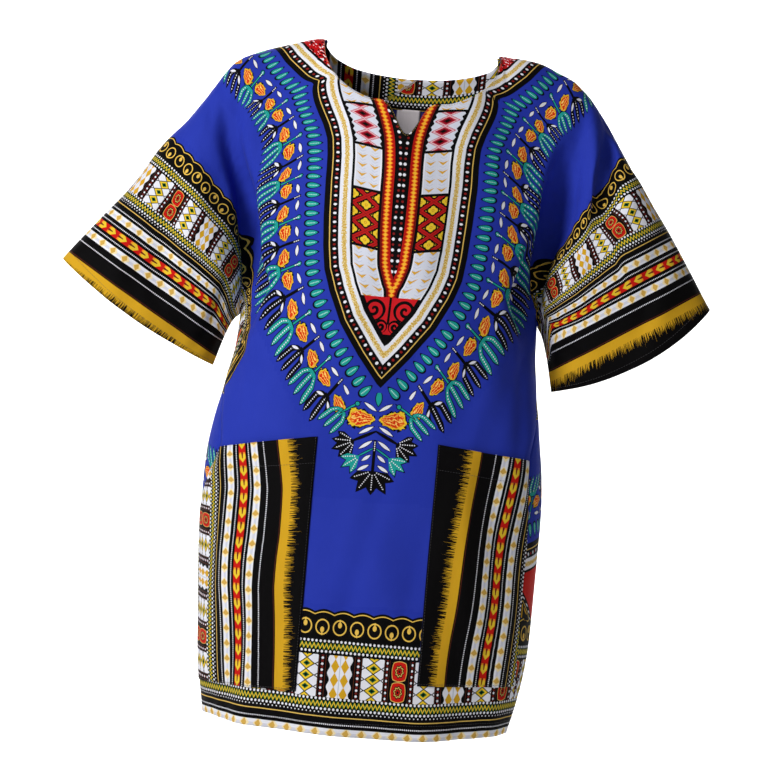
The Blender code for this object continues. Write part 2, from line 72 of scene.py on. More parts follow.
# Rings of the body, a row for each level: half widths to the two sides, depths to the front and the
# back, and the part of each half ring that the front panel takes, centre front to side seam. The
# side seams roll to the front at the hips, so the back shows past them.
RING_COLUMNS = ("z", "left", "right", "front", "back", "left_share", "right_share")
RINGS = (
    (-0.330, 0.187, 0.183, 0.136, 0.112, 0.512, 0.512),
    (-0.390, 0.190, 0.186, 0.131, 0.108, 0.506, 0.500),
    (-0.450, 0.203, 0.196, 0.127, 0.106, 0.450, 0.440),
    (-0.510, 0.212, 0.204, 0.130, 0.112, 0.388, 0.378),
    (-0.550, 0.214, 0.206, 0.133, 0.117, 0.428, 0.381),
    (-0.600, 0.215, 0.207, 0.136, 0.122, 0.490, 0.384),
    (-0.670, 0.212, 0.208, 0.139, 0.127, 0.512, 0.377),
    (-0.750, 0.205, 0.205, 0.140, 0.129, 0.512, 0.388),
    (-0.800, 0.199, 0.199, 0.140, 0.129, 0.507, 0.412),
    (-0.846, 0.192, 0.190, 0.139, 0.128, 0.500, 0.430),
)

# Overarm line, from the middle of the neck over the shoulder to the cuff. "across" is 0 at the
# centre, 0.5 at the neck point, 1 at the armhole line and 2 at the cuff.
OVERARM_COLUMNS = ("across", "left_x", "left_z", "right_x", "right_z")
OVERARM = (
    (0.00, 0.000, 0.010, 0.000, 0.010),
    (0.25, 0.055, 0.008, 0.055, 0.008),
    (0.50, 0.110, 0.000, 0.110, 0.000),
    (0.75, 0.166, -0.012, 0.168, -0.011),
    (1.00, 0.218, -0.038, 0.220, -0.038),
    (1.13, 0.244, -0.071, 0.246, -0.070),
    (1.28, 0.272, -0.111, 0.272, -0.109),
    (1.44, 0.302, -0.151, 0.300, -0.150),
    (1.59, 0.330, -0.192, 0.328, -0.188),
    (1.74, 0.359, -0.231, 0.353, -0.225),
    (1.89, 0.391, -0.271, 0.378, -0.264),
    (2.00, 0.414, -0.299, 0.396, -0.293),
)

# Underarm line, from the armpit to the lower corner of the cuff.
UNDERARM_COLUMNS = ("across", "left_x", "left_z", "right_x", "right_z")
UNDERARM = (
    (1.00, 0.187, -0.349, 0.182, -0.332),
    (1.25, 0.196, -0.358, 0.190, -0.345),
    (1.50, 0.203, -0.374, 0.197, -0.366),
    (2.00, 0.216, -0.416, 0.208, -0.413),
)

# Fullness of the ribs, the lines that run down a panel: how far each stands out to the front and to
# the back of the straight line between its ends.
FULLNESS_COLUMNS = ("across", "front", "back")
FULLNESS = (
    (0.00, 0.000, 0.000),
    (0.60, 0.000, 0.000),
    (0.80, 0.016, 0.020),
    (1.00, 0.054, 0.058),
    (1.25, 0.067, 0.068),
    (1.60, 0.061, 0.062),
    (2.00, 0.052, 0.054),
)
# Going out from the armhole line, the feet of the ribs come back to the middle of the arm over the
# first of these spans, and the droop of the cuff comes in over the second.
FOOT_SPAN = (1.0, 1.3)
DROOP_SPAN = (1.0, 1.9)

# How far the middle of a cuff's edge hangs below the straight line between its corners.
CUFF_DROOP = {
    "front": {"left": 0.009, "right": 0.020},
    "back": {"left": 0.010, "right": 0.012},
}


# %% Folds of the worn form
# Folds, a row for each place on a fold: x and z as seen from the front, how far the cloth is
# pushed in there (out if negative), the half width of the fold, and the sideways lean of the push.
FOLD_COLUMNS = ("x", "z", "depth", "half_width", "lean")
FOLDS = {
    "front": {
        "left_armhole_trough": (
            (-0.232, -0.070, 0.000, 0.020, 0.0),
            (-0.224, -0.120, 0.010, 0.022, 0.2),
            (-0.211, -0.185, 0.022, 0.022, 0.4),
            (-0.192, -0.260, 0.034, 0.020, 0.5),
            (-0.176, -0.318, 0.038, 0.017, 0.5),
            (-0.180, -0.352, 0.016, 0.016, 0.2),
            (-0.186, -0.390, 0.000, 0.014, 0.0),
        ),
        "left_sleeve_crease": (
            (-0.272, -0.130, 0.000, 0.014, 0.0),
            (-0.276, -0.190, 0.009, 0.015, 0.0),
            (-0.284, -0.255, 0.012, 0.016, 0.0),
            (-0.290, -0.330, 0.008, 0.018, 0.0),
            (-0.293, -0.370, 0.004, 0.020, 0.0),
        ),
        "left_chest_ridge": (
            (-0.205, -0.110, 0.000, 0.022, 0.0),
            (-0.183, -0.180, -0.008, 0.024, 0.0),
            (-0.163, -0.260, -0.011, 0.022, 0.0),
            (-0.150, -0.340, -0.006, 0.022, 0.0),
            (-0.146, -0.400, 0.000, 0.022, 0.0),
        ),
        "right_sleeve_step": (
            (0.246, -0.085, 0.000, 0.012, 0.0),
            (0.254, -0.120, 0.016, 0.013, -0.6),
            (0.258, -0.162, 0.019, 0.013, -0.7),
            (0.254, -0.205, 0.009, 0.014, -0.4),
            (0.248, -0.240, 0.000, 0.014, 0.0),
        ),
        "right_armhole_trough": (
            (0.214, -0.085, 0.000, 0.020, 0.0),
            (0.202, -0.140, 0.012, 0.022, -0.2),
            (0.192, -0.200, 0.024, 0.022, -0.4),
            (0.182, -0.260, 0.034, 0.020, -0.5),
            (0.172, -0.312, 0.034, 0.017, -0.5),
            (0.175, -0.345, 0.012, 0.016, -0.2),
            (0.181, -0.380, 0.000, 0.014, 0.0),
        ),
        "right_underarm_crease": (
            (0.205, -0.290, 0.000, 0.012, 0.0),
            (0.212, -0.335, 0.010, 0.013, 0.0),
            (0.222, -0.372, 0.007, 0.013, 0.0),
            (0.230, -0.400, 0.000, 0.014, 0.0),
        ),
        "left_hem_wave": (
            (-0.158, -0.640, 0.000, 0.026, 0.0),
            (-0.163, -0.740, 0.006, 0.024, 0.0),
            (-0.166, -0.850, 0.011, 0.022, 0.0),
        ),
        "left_inner_hem_wave": (
            (-0.098, -0.650, 0.000, 0.028, 0.0),
            (-0.094, -0.750, 0.004, 0.026, 0.0),
            (-0.092, -0.850, 0.008, 0.024, 0.0),
        ),
        "right_hem_wave": (
            (0.118, -0.620, 0.000, 0.028, 0.0),
            (0.125, -0.740, 0.006, 0.026, 0.0),
            (0.129, -0.850, 0.010, 0.024, 0.0),
        ),
    },
    "back": {
        "left_armhole_trough": (
            (-0.230, -0.075, 0.000, 0.022, 0.0),
            (-0.216, -0.150, 0.014, 0.024, 0.2),
            (-0.200, -0.230, 0.024, 0.024, 0.3),
            (-0.182, -0.305, 0.028, 0.020, 0.4),
            (-0.184, -0.350, 0.010, 0.016, 0.1),
            (-0.188, -0.390, 0.000, 0.014, 0.0),
        ),
        "right_armhole_trough": (
            (0.226, -0.070, 0.000, 0.022, 0.0),
            (0.212, -0.140, 0.012, 0.024, -0.2),
            (0.196, -0.215, 0.026, 0.024, -0.3),
            (0.178, -0.300, 0.030, 0.020, -0.4),
            (0.178, -0.340, 0.010, 0.016, -0.1),
            (0.182, -0.380, 0.000, 0.014, 0.0),
        ),
        "left_sleeve_crease": (
            (-0.262, -0.120, 0.000, 0.016, 0.0),
            (-0.276, -0.200, 0.010, 0.017, 0.0),
            (-0.286, -0.290, 0.008, 0.018, 0.0),
            (-0.292, -0.360, 0.003, 0.020, 0.0),
        ),
        "right_sleeve_crease": (
            (0.258, -0.110, 0.000, 0.016, 0.0),
            (0.268, -0.180, 0.011, 0.016, 0.0),
            (0.272, -0.260, 0.009, 0.018, 0.0),
            (0.276, -0.340, 0.003, 0.020, 0.0),
        ),
        "waist_fold": (
            (-0.060, -0.330, 0.000, 0.030, 0.0),
            (-0.050, -0.450, 0.006, 0.030, 0.0),
            (-0.058, -0.600, 0.005, 0.032, 0.0),
            (-0.062, -0.720, 0.000, 0.034, 0.0),
        ),
        "left_hem_wave": (
            (-0.130, -0.560, 0.000, 0.030, 0.0),
            (-0.136, -0.700, 0.007, 0.028, 0.0),
            (-0.140, -0.850, 0.013, 0.026, 0.0),
        ),
        "middle_hem_wave": (
            (0.010, -0.600, 0.000, 0.034, 0.0),
            (0.014, -0.720, 0.006, 0.032, 0.0),
            (0.016, -0.850, 0.011, 0.030, 0.0),
        ),
        "right_hem_wave": (
            (0.110, -0.500, 0.000, 0.030, 0.0),
            (0.120, -0.680, 0.008, 0.028, 0.0),
            (0.126, -0.850, 0.012, 0.026, 0.0),
        ),
    },
}

# A fold is pushed towards the body's axis on the body and straight back on a sleeve. The change is
# spread over a span across the panel and over one of height. Folds come in over a span of depth from
# the plane of the seams above the armpits, and over a span across from the side seams below them.
SLEEVE_SPAN = (0.6, 1.0)
SLEEVE_HEIGHTS = (-0.440, -0.350)
SEAM_DEPTHS = (0.008, 0.044)
SIDE_SPAN = (0.0, 0.12)


# %% Rows and columns of a panel
# Grid of a panel. Columns run from the centre to the cuff, and the same ones go to the left. On the
# body they fan out below the neck: a column's place is measured at the armpit level, where the one
# from the neck point is at NECK_COLUMN and the one from the notch's corner at NOTCH_COLUMN.
NOTCH_COLUMN = 0.122
POCKET_COLUMN = 0.285
NECK_COLUMN = 0.68
BODY_COLUMNS = (
    NOTCH_COLUMN, 0.205, POCKET_COLUMN, 0.38, 0.48, 0.58, NECK_COLUMN,
    0.76, 0.83, 0.89, 0.945, 1.0,
)
SLEEVE_COLUMNS = (1.05, 1.10, 1.15, 1.21, 1.29, 1.40, 1.52, 1.64, 1.76, 1.88, 2.0)
HALF_COLUMNS = (0.0,) + BODY_COLUMNS + SLEEVE_COLUMNS
NECK_POINT = 0.5  # where the overarm line has the neck point
SHEET_RIBS = 80  # ribs that the upper part is measured on before the neck is cut

# Rows of the upper part: the first two are this far from the top edge, so that the facing ends on
# the second. The rest divide what is left down to the armpit level evenly.
FACING_DEPTH = 0.034
TOP_ROWS = (0.0, 0.016, FACING_DEPTH)
EVEN_ROWS = 10

# Rows of the lower part: the heights that some rows have at the centre, at the pockets' inner edges
# and at the side seams. The rows between them are spaced evenly. The pockets' edges are rows too.
POCKET_ROWS = {"top": 4, "bottom": 12}
ROW_COLUMNS = ("row", "middle", "left_pocket", "left_seam", "right_pocket", "right_seam")
LOWER_ROWS = (
    (0, -0.341, -0.341, -0.349, -0.341, -0.332),
    (4, -0.490, -0.491, -0.515, -0.488, -0.500),
    (12, -0.788, -0.797, -0.806, -0.778, -0.776),
    (14, -0.846, -0.846, -0.846, -0.846, -0.837),
)


# %% From sizes to the points of a panel
def table(rows, columns):
    """The rows as one array for each named column."""
    return dict(zip(columns, np.array(rows).T))


def traced(rows, columns, count):
    """The columns of a table at evenly spaced places along its rows."""
    keys = table(rows, columns)
    t = np.linspace(0, len(rows) - 1, count)
    return {name: np.interp(t, np.arange(len(rows)), keys[name]) for name in columns}


def through(keys, values, at):
    """Values at any place on a smooth curve through the rows of a table."""
    slopes = np.gradient(values, keys)
    at = np.clip(at, keys[0], keys[-1])
    i = np.clip(np.searchsorted(keys, at, side="right") - 1, 0, len(keys) - 2)
    step = keys[i + 1] - keys[i]
    t = (at - keys[i]) / step
    start = (1 + 2 * t) * (1 - t) ** 2 * values[i] + t * (1 - t) ** 2 * step * slopes[i]
    end = t * t * (3 - 2 * t) * values[i + 1] - t * t * (1 - t) * step * slopes[i + 1]
    return start + end


def ease(t):
    """A smooth step from 0 to 1."""
    t = np.clip(t, 0.0, 1.0)
    return t * t * (3 - 2 * t)


def rise(value, span):
    """A smooth step from 0 at the start of a span to 1 at its end."""
    return ease((value - span[0]) / (span[1] - span[0]))


def arc_lengths(points):
    """The length along a line from its start to each of its points."""
    steps = np.linalg.norm(np.diff(points, axis=0), axis=1)
    return np.concatenate(([0.0], np.cumsum(steps)))


RING = table(RINGS[::-1], RING_COLUMNS)
ARM = table(OVERARM, OVERARM_COLUMNS)
UNDER = table(UNDERARM, UNDERARM_COLUMNS)
FULL = table(FULLNESS, FULLNESS_COLUMNS)
ROWS = table(LOWER_ROWS, ROW_COLUMNS)


def unit(vector):
    return vector / np.linalg.norm(vector)


def side_name(side):
    return "left" if side < 0 else "right"


def half_ring(z, side):
    """One half of the body's ring at a height, from the centre front to the centre back."""
    angle = np.linspace(0.0, math.pi, 2 * DENSE + 1)
    power = 2.0 / ROUND
    width = through(RING["z"], RING[side_name(side)], z)
    depth = np.where(
        angle <= math.pi / 2,
        through(RING["z"], RING["front"], z),
        through(RING["z"], RING["back"], z),
    )
    x = side * width * np.abs(np.sin(angle)) ** power
    y = -depth * np.sign(np.cos(angle)) * np.abs(np.cos(angle)) ** power
    return np.column_stack((x, y, np.full_like(x, z)))


def body_point(across, z, side, face):
    """The point of a panel at a place round its own half ring, 0 at the centre and 1 at the seam."""
    ring = half_ring(z, side)
    length = arc_lengths(ring)
    whole = length[-1]
    seam = whole * through(RING["z"], RING[side_name(side) + "_share"], z)
    if face == "front":
        start = POCKET_START[side_name(side)]
        place = np.interp(across, (0.0, POCKET_COLUMN, 1.0), (0.0, start, seam))
    else:
        place = whole - across * (whole - seam)
    return np.array([np.interp(place, length, ring[:, k]) for k in range(3)])


def row_height(across, row, side):
    """The height of a row of the lower part, at a place between the centre and the side seam."""
    name = side_name(side)
    middle, pocket, seam = (
        np.interp(row, ROWS["row"], ROWS[key]) for key in ("middle", name + "_pocket", name + "_seam")
    )
    if across < POCKET_COLUMN:
        return middle + (pocket - middle) * ease(across / POCKET_COLUMN)
    return pocket + (seam - pocket) * (across - POCKET_COLUMN) / (1.0 - POCKET_COLUMN)


def neck_height(x, face):
    """The height of the neck's edge above a place on its width."""
    x = np.abs(x)
    inside = np.clip(1.0 - (x / NECK_HALF_WIDTH) ** NECK_ROUND, 0.0, 1.0)
    edge = -NECK_DROP[face] * inside ** (1.0 / NECK_ROUND)
    if face == "front":
        edge = edge - NOTCH_DEPTH * np.clip(1.0 - x / NOTCH_HALF_WIDTH, 0.0, 1.0)
    return edge


def rib(across, side, face):
    """The line that runs down a panel from its top edge to the armpit level or the underarm seam."""
    name = side_name(side)
    top = np.array([side * through(ARM["across"], ARM[name + "_x"], across), 0.0,
                    through(ARM["across"], ARM[name + "_z"], across)])
    if across <= 1.0:
        foot = body_point(across, row_height(across, 0, side), side, face)
    else:
        foot = np.array([side * through(UNDER["across"], UNDER[name + "_x"], across), 0.0,
                         through(UNDER["across"], UNDER[name + "_z"], across)])
        armpit = body_point(1.0, row_height(1.0, 0, side), side, face)
        foot[1] = armpit[1] * (1 - rise(across, FOOT_SPAN))
    t = (1 - np.cos(np.linspace(0.0, math.pi, DENSE))) / 2
    body = (1 - (1 - t) ** RIB_ROUND) ** (1 / RIB_ROUND)
    skewed = 2 * t**SLEEVE_TOP_SHARE - 1
    sleeve = np.clip(1 - np.abs(skewed) ** SLEEVE_ROUND, 0.0, 1.0) ** (1 / SLEEVE_ROUND)
    out = -1.0 if face == "front" else 1.0
    line = top + (foot - top) * t[:, None]
    line[:, 1] = foot[1] * body + out * through(FULL["across"], FULL[face], across) * sleeve
    chord = unit(foot - top)
    down_arm = np.array([-chord[2] * side, 0.0, chord[0] * side])
    droop = CUFF_DROOP[face][name] * rise(across, DROOP_SPAN)
    return line + down_arm * (droop * 4 * t * (1 - t))[:, None]


def along(line, places):
    """The points at some lengths along a line."""
    length = arc_lengths(line)
    return np.column_stack([np.interp(places, length, line[:, k]) for k in range(line.shape[1])])


def uncut_sheet(side, face):
    """The upper part of a panel's body before the neck is cut, as evenly measured ribs."""
    ribs = [rib(across, side, face) for across in np.linspace(0.0, 1.0, SHEET_RIBS + 1)]
    return np.array([along(line, np.linspace(0.0, arc_lengths(line)[-1], DENSE)) for line in ribs])


def on_sheet(sheet, across, down):
    """Points of the uncut sheet, at places from 0 to 1 across it and down it."""
    u, v = across * SHEET_RIBS, down * (DENSE - 1)
    i = np.clip(np.floor(u).astype(int), 0, SHEET_RIBS - 1)
    j = np.clip(np.floor(v).astype(int), 0, DENSE - 2)
    s, t = (u - i)[..., None], (v - j)[..., None]
    near = (1 - t) * sheet[i, j] + t * sheet[i, j + 1]
    far = (1 - t) * sheet[i + 1, j] + t * sheet[i + 1, j + 1]
    return (1 - s) * near + s * far


def neck_edge(sheet, face):
    """The neck's edge from the centre to the neck point: rows of across, down, x, y and z."""
    down = np.linspace(0.0, 1.0, 4 * DENSE)
    edge = []
    for across in NECK_POINT * np.sin(np.linspace(0.0, math.pi / 2, 2 * DENSE)):
        line = on_sheet(sheet, np.full_like(down, across), down)
        above = line[:, 2] - neck_height(line[:, 0], face)
        k = max(int(np.argmax(above <= 0.0)), 1)
        share = np.clip(above[k - 1] / (above[k - 1] - above[k]), 0.0, 1.0)
        edge.append((across, down[k - 1] + share * (down[k] - down[k - 1])))
    edge[-1] = (NECK_POINT, 0.0)
    edge = np.array(edge)
    return np.column_stack((edge, on_sheet(sheet, edge[:, 0], edge[:, 1])))


def column_start(across, edge):
    """Where a column begins: its place across the sheet and down it."""
    if across >= NECK_COLUMN:
        return NECK_POINT + (1.0 - NECK_POINT) * (across - NECK_COLUMN) / (1.0 - NECK_COLUMN), 0.0
    length = arc_lengths(edge[:, 2:])
    corner = float(np.interp(NOTCH_HALF_WIDTH, np.abs(edge[:, 2]), length))
    place = np.interp(across, (0.0, NOTCH_COLUMN, NECK_COLUMN), (0.0, corner, length[-1]))
    return float(np.interp(place, length, edge[:, 0])), float(np.interp(place, length, edge[:, 1]))


def upper_points(across, side, face, sheet, edge):
    """The points of one column of the grid, from the top edge to the armpit level."""
    if across > 1.0:
        line = rib(across, side, face)
    else:
        first_across, first_down = column_start(across, edge)
        share = np.linspace(0.0, 1.0, DENSE)
        fan = 1 - (1 - share) ** 2
        places_across = first_across + (across - first_across) * fan
        line = on_sheet(sheet, places_across, first_down + (1 - first_down) * share)
    whole = arc_lengths(line)[-1]
    even = np.linspace(TOP_ROWS[-1], whole, EVEN_ROWS + 1)[1:]
    return along(line, np.concatenate((TOP_ROWS, even)))


def fold_push(point, across, face):
    """How far the folds move a point of a panel, as a vector."""
    x, y, z = point
    out = -1.0 if face == "front" else 1.0
    width = through(RING["z"], RING[side_name(x)], z)
    depth = through(RING["z"], RING[face], z)
    radial = np.array([x / width**2, y / depth**2])
    radial /= np.linalg.norm(radial) + 1e-9
    sleeve = rise(across, SLEEVE_SPAN) * rise(z, SLEEVE_HEIGHTS)
    inward = -(1 - sleeve) * radial + sleeve * np.array([0.0, -out])
    if z > ROWS["middle"][0]:
        clear_of_seam = rise(abs(y), SEAM_DEPTHS)
    else:
        clear_of_seam = rise(1 - across, SIDE_SPAN)
    push = np.zeros(3)
    for rows in FOLDS[face].values():
        place = traced(rows, FOLD_COLUMNS, 8 * len(rows))
        away = np.hypot(place["x"] - x, place["z"] - z)
        k = int(np.argmin(away))
        amount = place["depth"][k] * math.exp(-((away[k] / place["half_width"][k]) ** 2))
        push += amount * clear_of_seam * np.array([inward[0] + place["lean"][k], inward[1], 0.0])
    return push


def panel_grid(face):
    """All the outer points of a panel, in columns from the left cuff to the right one."""
    halves = {}
    for side in (-1, 1):
        half = []
        sheet = uncut_sheet(side, face)
        edge = neck_edge(sheet, face)
        for across in HALF_COLUMNS:
            points = list(upper_points(across, side, face, sheet, edge))
            if across <= 1.0:
                rows = range(1, LAST_ROW + 1)
                points += [body_point(across, row_height(across, row, side), side, face) for row in rows]
            half.append([p + fold_push(p, across, face) for p in points])
        halves[side] = half
    centre = [(a + b) / 2 for a, b in zip(halves[-1][0], halves[1][0])]
    return halves[-1][:0:-1] + [centre] + halves[1][1:]


ACROSS = [-a for a in HALF_COLUMNS[:0:-1]] + list(HALF_COLUMNS)
ARMPIT_ROW = len(TOP_ROWS) - 1 + EVEN_ROWS
LAST_ROW = LOWER_ROWS[-1][0]

# %% [markdown]
# ## Fine grids
#
# Cloth needs small faces, or its creases look like folded card. The rows and columns above are few, so
# each sheet takes more points from a smooth curve through them. A subdivision modifier could do this
# too, but then the print's distances, which are measured point by point, would drift from the cloth.

# %% Smooth rows and columns
CELL = 0.0043  # wanted size of a face


def smooth(values, at):
    """Values at places between the entries of an array, on a smooth curve through them."""
    slopes = np.gradient(values, axis=0)
    i = np.clip(np.floor(at).astype(int), 0, len(values) - 2)
    t = (at - i).reshape((-1,) + (1,) * (values.ndim - 1))
    start = (1 + 2 * t) * (1 - t) ** 2 * values[i] + t * (1 - t) ** 2 * slopes[i]
    end = t * t * (3 - 2 * t) * values[i + 1] - t * t * (1 - t) * slopes[i + 1]
    return start + end


def cuts(lengths):
    """Fine places along a line of coarse spans of these lengths, spaced by about one cell."""
    places = [np.array([0.0])]
    for k, length in enumerate(lengths):
        parts = max(1, int(round(length / CELL)))
        places.append(k + np.arange(1, parts + 1) / parts)
    return np.concatenate(places)


def span_lengths(columns, row):
    return np.linalg.norm(np.diff([column[row] for column in columns], axis=0), axis=1)


COARSE = {face: panel_grid(face) for face in ("front", "back")}
CENTRE = len(HALF_COLUMNS) - 1
BODY = [i for i, a in enumerate(ACROSS) if abs(a) <= 1.0]
SPANS = span_lengths(COARSE["front"], 0)
SPANS[BODY[0] : BODY[-1]] = span_lengths([COARSE["front"][i] for i in BODY], ARMPIT_ROW)
ACROSS_PLACES = cuts(SPANS)
DOWN_PLACES = cuts(np.linalg.norm(np.diff(COARSE["back"][CENTRE], axis=0), axis=1))
FINE_ACROSS = np.interp(ACROSS_PLACES, np.arange(len(ACROSS)), ACROSS)
FINE_ARMPIT = int(np.argmin(np.abs(DOWN_PLACES - ARMPIT_ROW)))
ON_BODY = np.abs(FINE_ACROSS) <= 1.0 + 1e-9


def fine_panel(face):
    """Points of a panel, by column and row. Below the armpits the sleeves' columns are empty."""
    coarse = COARSE[face]
    upper = np.array([smooth(np.array(column), DOWN_PLACES[: FINE_ARMPIT + 1]) for column in coarse])
    upper = smooth(upper, ACROSS_PLACES)
    lower = np.array([smooth(np.array(coarse[i]), DOWN_PLACES[FINE_ARMPIT + 1 :]) for i in BODY])
    lower = smooth(lower, ACROSS_PLACES[ON_BODY] - BODY[0])
    points = np.full((len(ACROSS_PLACES), len(DOWN_PLACES), 3), np.nan)
    points[:, : FINE_ARMPIT + 1] = upper
    points[ON_BODY, FINE_ARMPIT + 1 :] = lower
    return points


SHEET = {face: fine_panel(face) for face in COARSE}
print("points of a panel", SHEET["front"].shape)

# %% Where the two panels are sewn together
TOP_SEAM = np.abs(FINE_ACROSS) >= NECK_COLUMN - 1e-9
UNDER_SEAM = np.abs(FINE_ACROSS) >= 1.0 - 1e-9
SIDE_SEAM = np.isclose(np.abs(FINE_ACROSS), 1.0)
SEAM = np.zeros(SHEET["front"].shape[:2], bool)
SEAM[TOP_SEAM, 0] = True
SEAM[UNDER_SEAM, FINE_ARMPIT] = True
SEAM[SIDE_SEAM, FINE_ARMPIT:] = True
middle = (SHEET["front"][SEAM] + SHEET["back"][SEAM]) / 2
for points in SHEET.values():
    points[SEAM] = middle
print("seam points", int(SEAM.sum()))

# %% [markdown]
# ## Distances on the cloth
#
# The print follows the cloth, so it is measured before the small creases are made. Each sheet gets
# pairs of distances: along and away from a border's edge, and along and out from the yoke's outline.

# %% Lengths along rows and columns
def run(points, axis):
    """Length from the start of each row or column to each point."""
    steps = np.linalg.norm(np.diff(points, axis=axis), axis=-1)
    steps = np.nan_to_num(steps)
    return np.concatenate((np.zeros_like(steps.take([0], axis)), np.cumsum(steps, axis=axis)), axis=axis)


MM = 0.001
MIDDLE = int(np.argmin(np.abs(FINE_ACROSS)))

# How deep the printed border is on each sleeve, a row for each distance from the cuff's top corner
# towards its lower one: "seen" is where the border's inner edge lies. The cloth between is folded
# away in the creases at the armhole, so the print closes up there.
BORDER_DEPTH = 0.222
CUFF = {"left": ((-0.414, -0.299), (-0.216, -0.416)), "right": ((0.396, -0.293), (0.207, -0.413))}
REACH_COLUMNS = ("along", "seen", "start")
REACH = {
    "front_left": (
        (-0.050, 0.216, 0.060),
        (0.031, 0.210, 0.060),
        (0.059, 0.205, 0.060),
        (0.089, 0.199, 0.060),
        (0.120, 0.189, 0.060),
        (0.145, 0.181, 0.060),
        (0.165, 0.171, 0.060),
        (0.182, 0.157, 0.060),
        (0.195, 0.136, 0.055),
        (0.210, 0.110, 0.040),
        (0.250, 0.062, 0.012),
        (0.290, 0.020, 0.004),
    ),
    "front_right": (
        (-0.050, 0.217, 0.060),
        (0.030, 0.216, 0.060),
        (0.040, 0.212, 0.060),
        (0.056, 0.190, 0.060),
        (0.087, 0.181, 0.060),
        (0.113, 0.171, 0.060),
        (0.144, 0.156, 0.055),
        (0.172, 0.142, 0.060),
        (0.186, 0.125, 0.070),
        (0.195, 0.094, 0.055),
        (0.206, 0.060, 0.035),
        (0.225, 0.030, 0.012),
        (0.260, 0.010, 0.002),
    ),
    "back": (
        (-0.050, 0.217, 0.060),
        (0.050, 0.208, 0.060),
        (0.120, 0.180, 0.058),
        (0.170, 0.145, 0.048),
        (0.217, 0.110, 0.030),
        (0.250, 0.062, 0.012),
        (0.290, 0.020, 0.004),
    ),
}
# A step of cloth at the top of the right sleeve shifts the print's edge. The lean fades out over a
# span of places along the cuff, and the print closes up by a power of the way to its edge.
STEP_LEAN = {"front_left": 0.0, "front_right": 0.5, "back": 0.0}
STEP_FROM = 0.190
STEP_SPAN = (0.070, 0.110)
CLOSE_UP = 1.4


def from_cuff(points, side, face):
    """Distance of the print from the cuff's edge, all over one sleeve and the body beside it."""
    (x0, z0), (x1, z1) = CUFF[side]
    edge = np.array([x1 - x0, z1 - z0])
    edge /= np.linalg.norm(edge)
    inward = np.array([-edge[1], edge[0]]) * (1 if side == "left" else -1)
    dx, dz = points[..., 0] - x0, points[..., 2] - z0
    along_cuff = dx * edge[0] + dz * edge[1]
    away = dx * inward[0] + dz * inward[1]
    key = face if face == "back" else face + "_" + side
    reach = table(REACH[key], REACH_COLUMNS)
    near_top = (STEP_SPAN[1] - along_cuff) / (STEP_SPAN[1] - STEP_SPAN[0])
    lean = STEP_LEAN[key] * np.clip(near_top, 0.0, 1.0)
    at = along_cuff + lean * (away - STEP_FROM)
    seen = np.interp(at, reach["along"], reach["seen"])
    start = np.interp(at, reach["along"], reach["start"])
    part = np.clip((away - start) / np.maximum(seen - start, 0.004), 0.0, None)
    hidden = (BORDER_DEPTH - seen) * np.minimum(part, 1.0) ** CLOSE_UP
    return away + hidden


# %% [markdown]
# The yoke's outline is a line of points with a direction at each. A point of the cloth lies on one of
# those rays, so its two print distances are the place along the outline and the length of the ray.
# On the front the places are counted up from the outline's lowest tip.

# %% Outlines that the ornament follows
OUTLINE_COLUMNS = ("x", "z", "angle", "along", "reach")
OUTLINE = {
    "front": (
        (0.232, 0.115, -34, 0.650, 1.0),
        (0.190, 0.050, -34, 0.566, 1.0),
        (0.167, 0.012, -34, 0.520, 1.0),
        (0.152, -0.014, -34, 0.487, 1.0),
        (0.139, -0.031, -31, 0.463, 1.0),
        (0.1295, -0.044, -26, 0.446, 1.0),
        (0.1217, -0.0544, -20, 0.430, 1.0),
        (0.1165, -0.066, -15, 0.415, 1.0),
        (0.112, -0.078, -11, 0.400, 1.0),
        (0.106, -0.093, -7, 0.381, 1.0),
        (0.099, -0.110, -4, 0.360, 1.0),
        (0.0935, -0.129, -1, 0.337, 1.0),
        (0.092, -0.150, 0, 0.313, 1.0),
        (0.092, -0.180, 0, 0.278, 1.0),
        (0.090, -0.224, -4, 0.229, 1.0),
        (0.087, -0.262, -10, 0.188, 1.0),
        (0.083, -0.290, -16, 0.157, 1.0),
        (0.074, -0.316, -24, 0.128, 1.0),
        (0.057, -0.352, -32, 0.090, 1.0),
        (0.031, -0.389, -38, 0.043, 1.02),
        (0.000, -0.427, -43, 0.000, 1.06),
        (0.000, -0.4271, -90, -0.020, 1.45),
    ),
    "back": (
        (0.185, 0.075, -28, -0.070, 1.0),
        (0.152, 0.022, -28, -0.016, 1.0),
        (0.136, -0.004, -34, 0.014, 1.0),
        (0.112, -0.034, -48, 0.052, 1.0),
        (0.080, -0.060, -62, 0.094, 1.0),
        (0.042, -0.075, -76, 0.134, 1.0),
        (0.000, -0.080, -90, 0.176, 1.0),
    ),
    "hips": (
        (0.000, -0.405, 90, 0.030, 1.0),
        (0.050, -0.418, 76, 0.082, 1.0),
        (0.110, -0.452, 60, 0.150, 1.0),
        (0.170, -0.500, 54, 0.228, 1.0),
        (0.230, -0.556, 62, 0.310, 1.0),
        (0.270, -0.588, 72, 0.362, 1.0),
        (0.345, -0.603, 82, 0.439, 1.0),
        (0.400, -0.606, 90, 0.494, 1.0),
    ),
}
CORNER = 0.430  # the front outline's sharp inward corner, near the collar bone
CORNER_DEPTH = 0.0095
CORNER_SPAN = 0.012
CENTRE_COLUMNS = ("z", "x")
CENTRE_LINE = (  # the print runs a little off the middle of the cut
    (-0.558, -0.0057),
    (-0.426, -0.0055),
    (-0.300, -0.0010),
    (-0.170, -0.0010),
    (-0.110, -0.0030),
    (-0.050, -0.0055),
)
LIFT = 0.35  # how much of the cloth's way back over the shoulder counts as height
LIFT_FROM = 0.100
WELL_INSIDE, WELL_OUTSIDE = -0.2, 0.4  # distances for cloth that no ray of the outline reaches


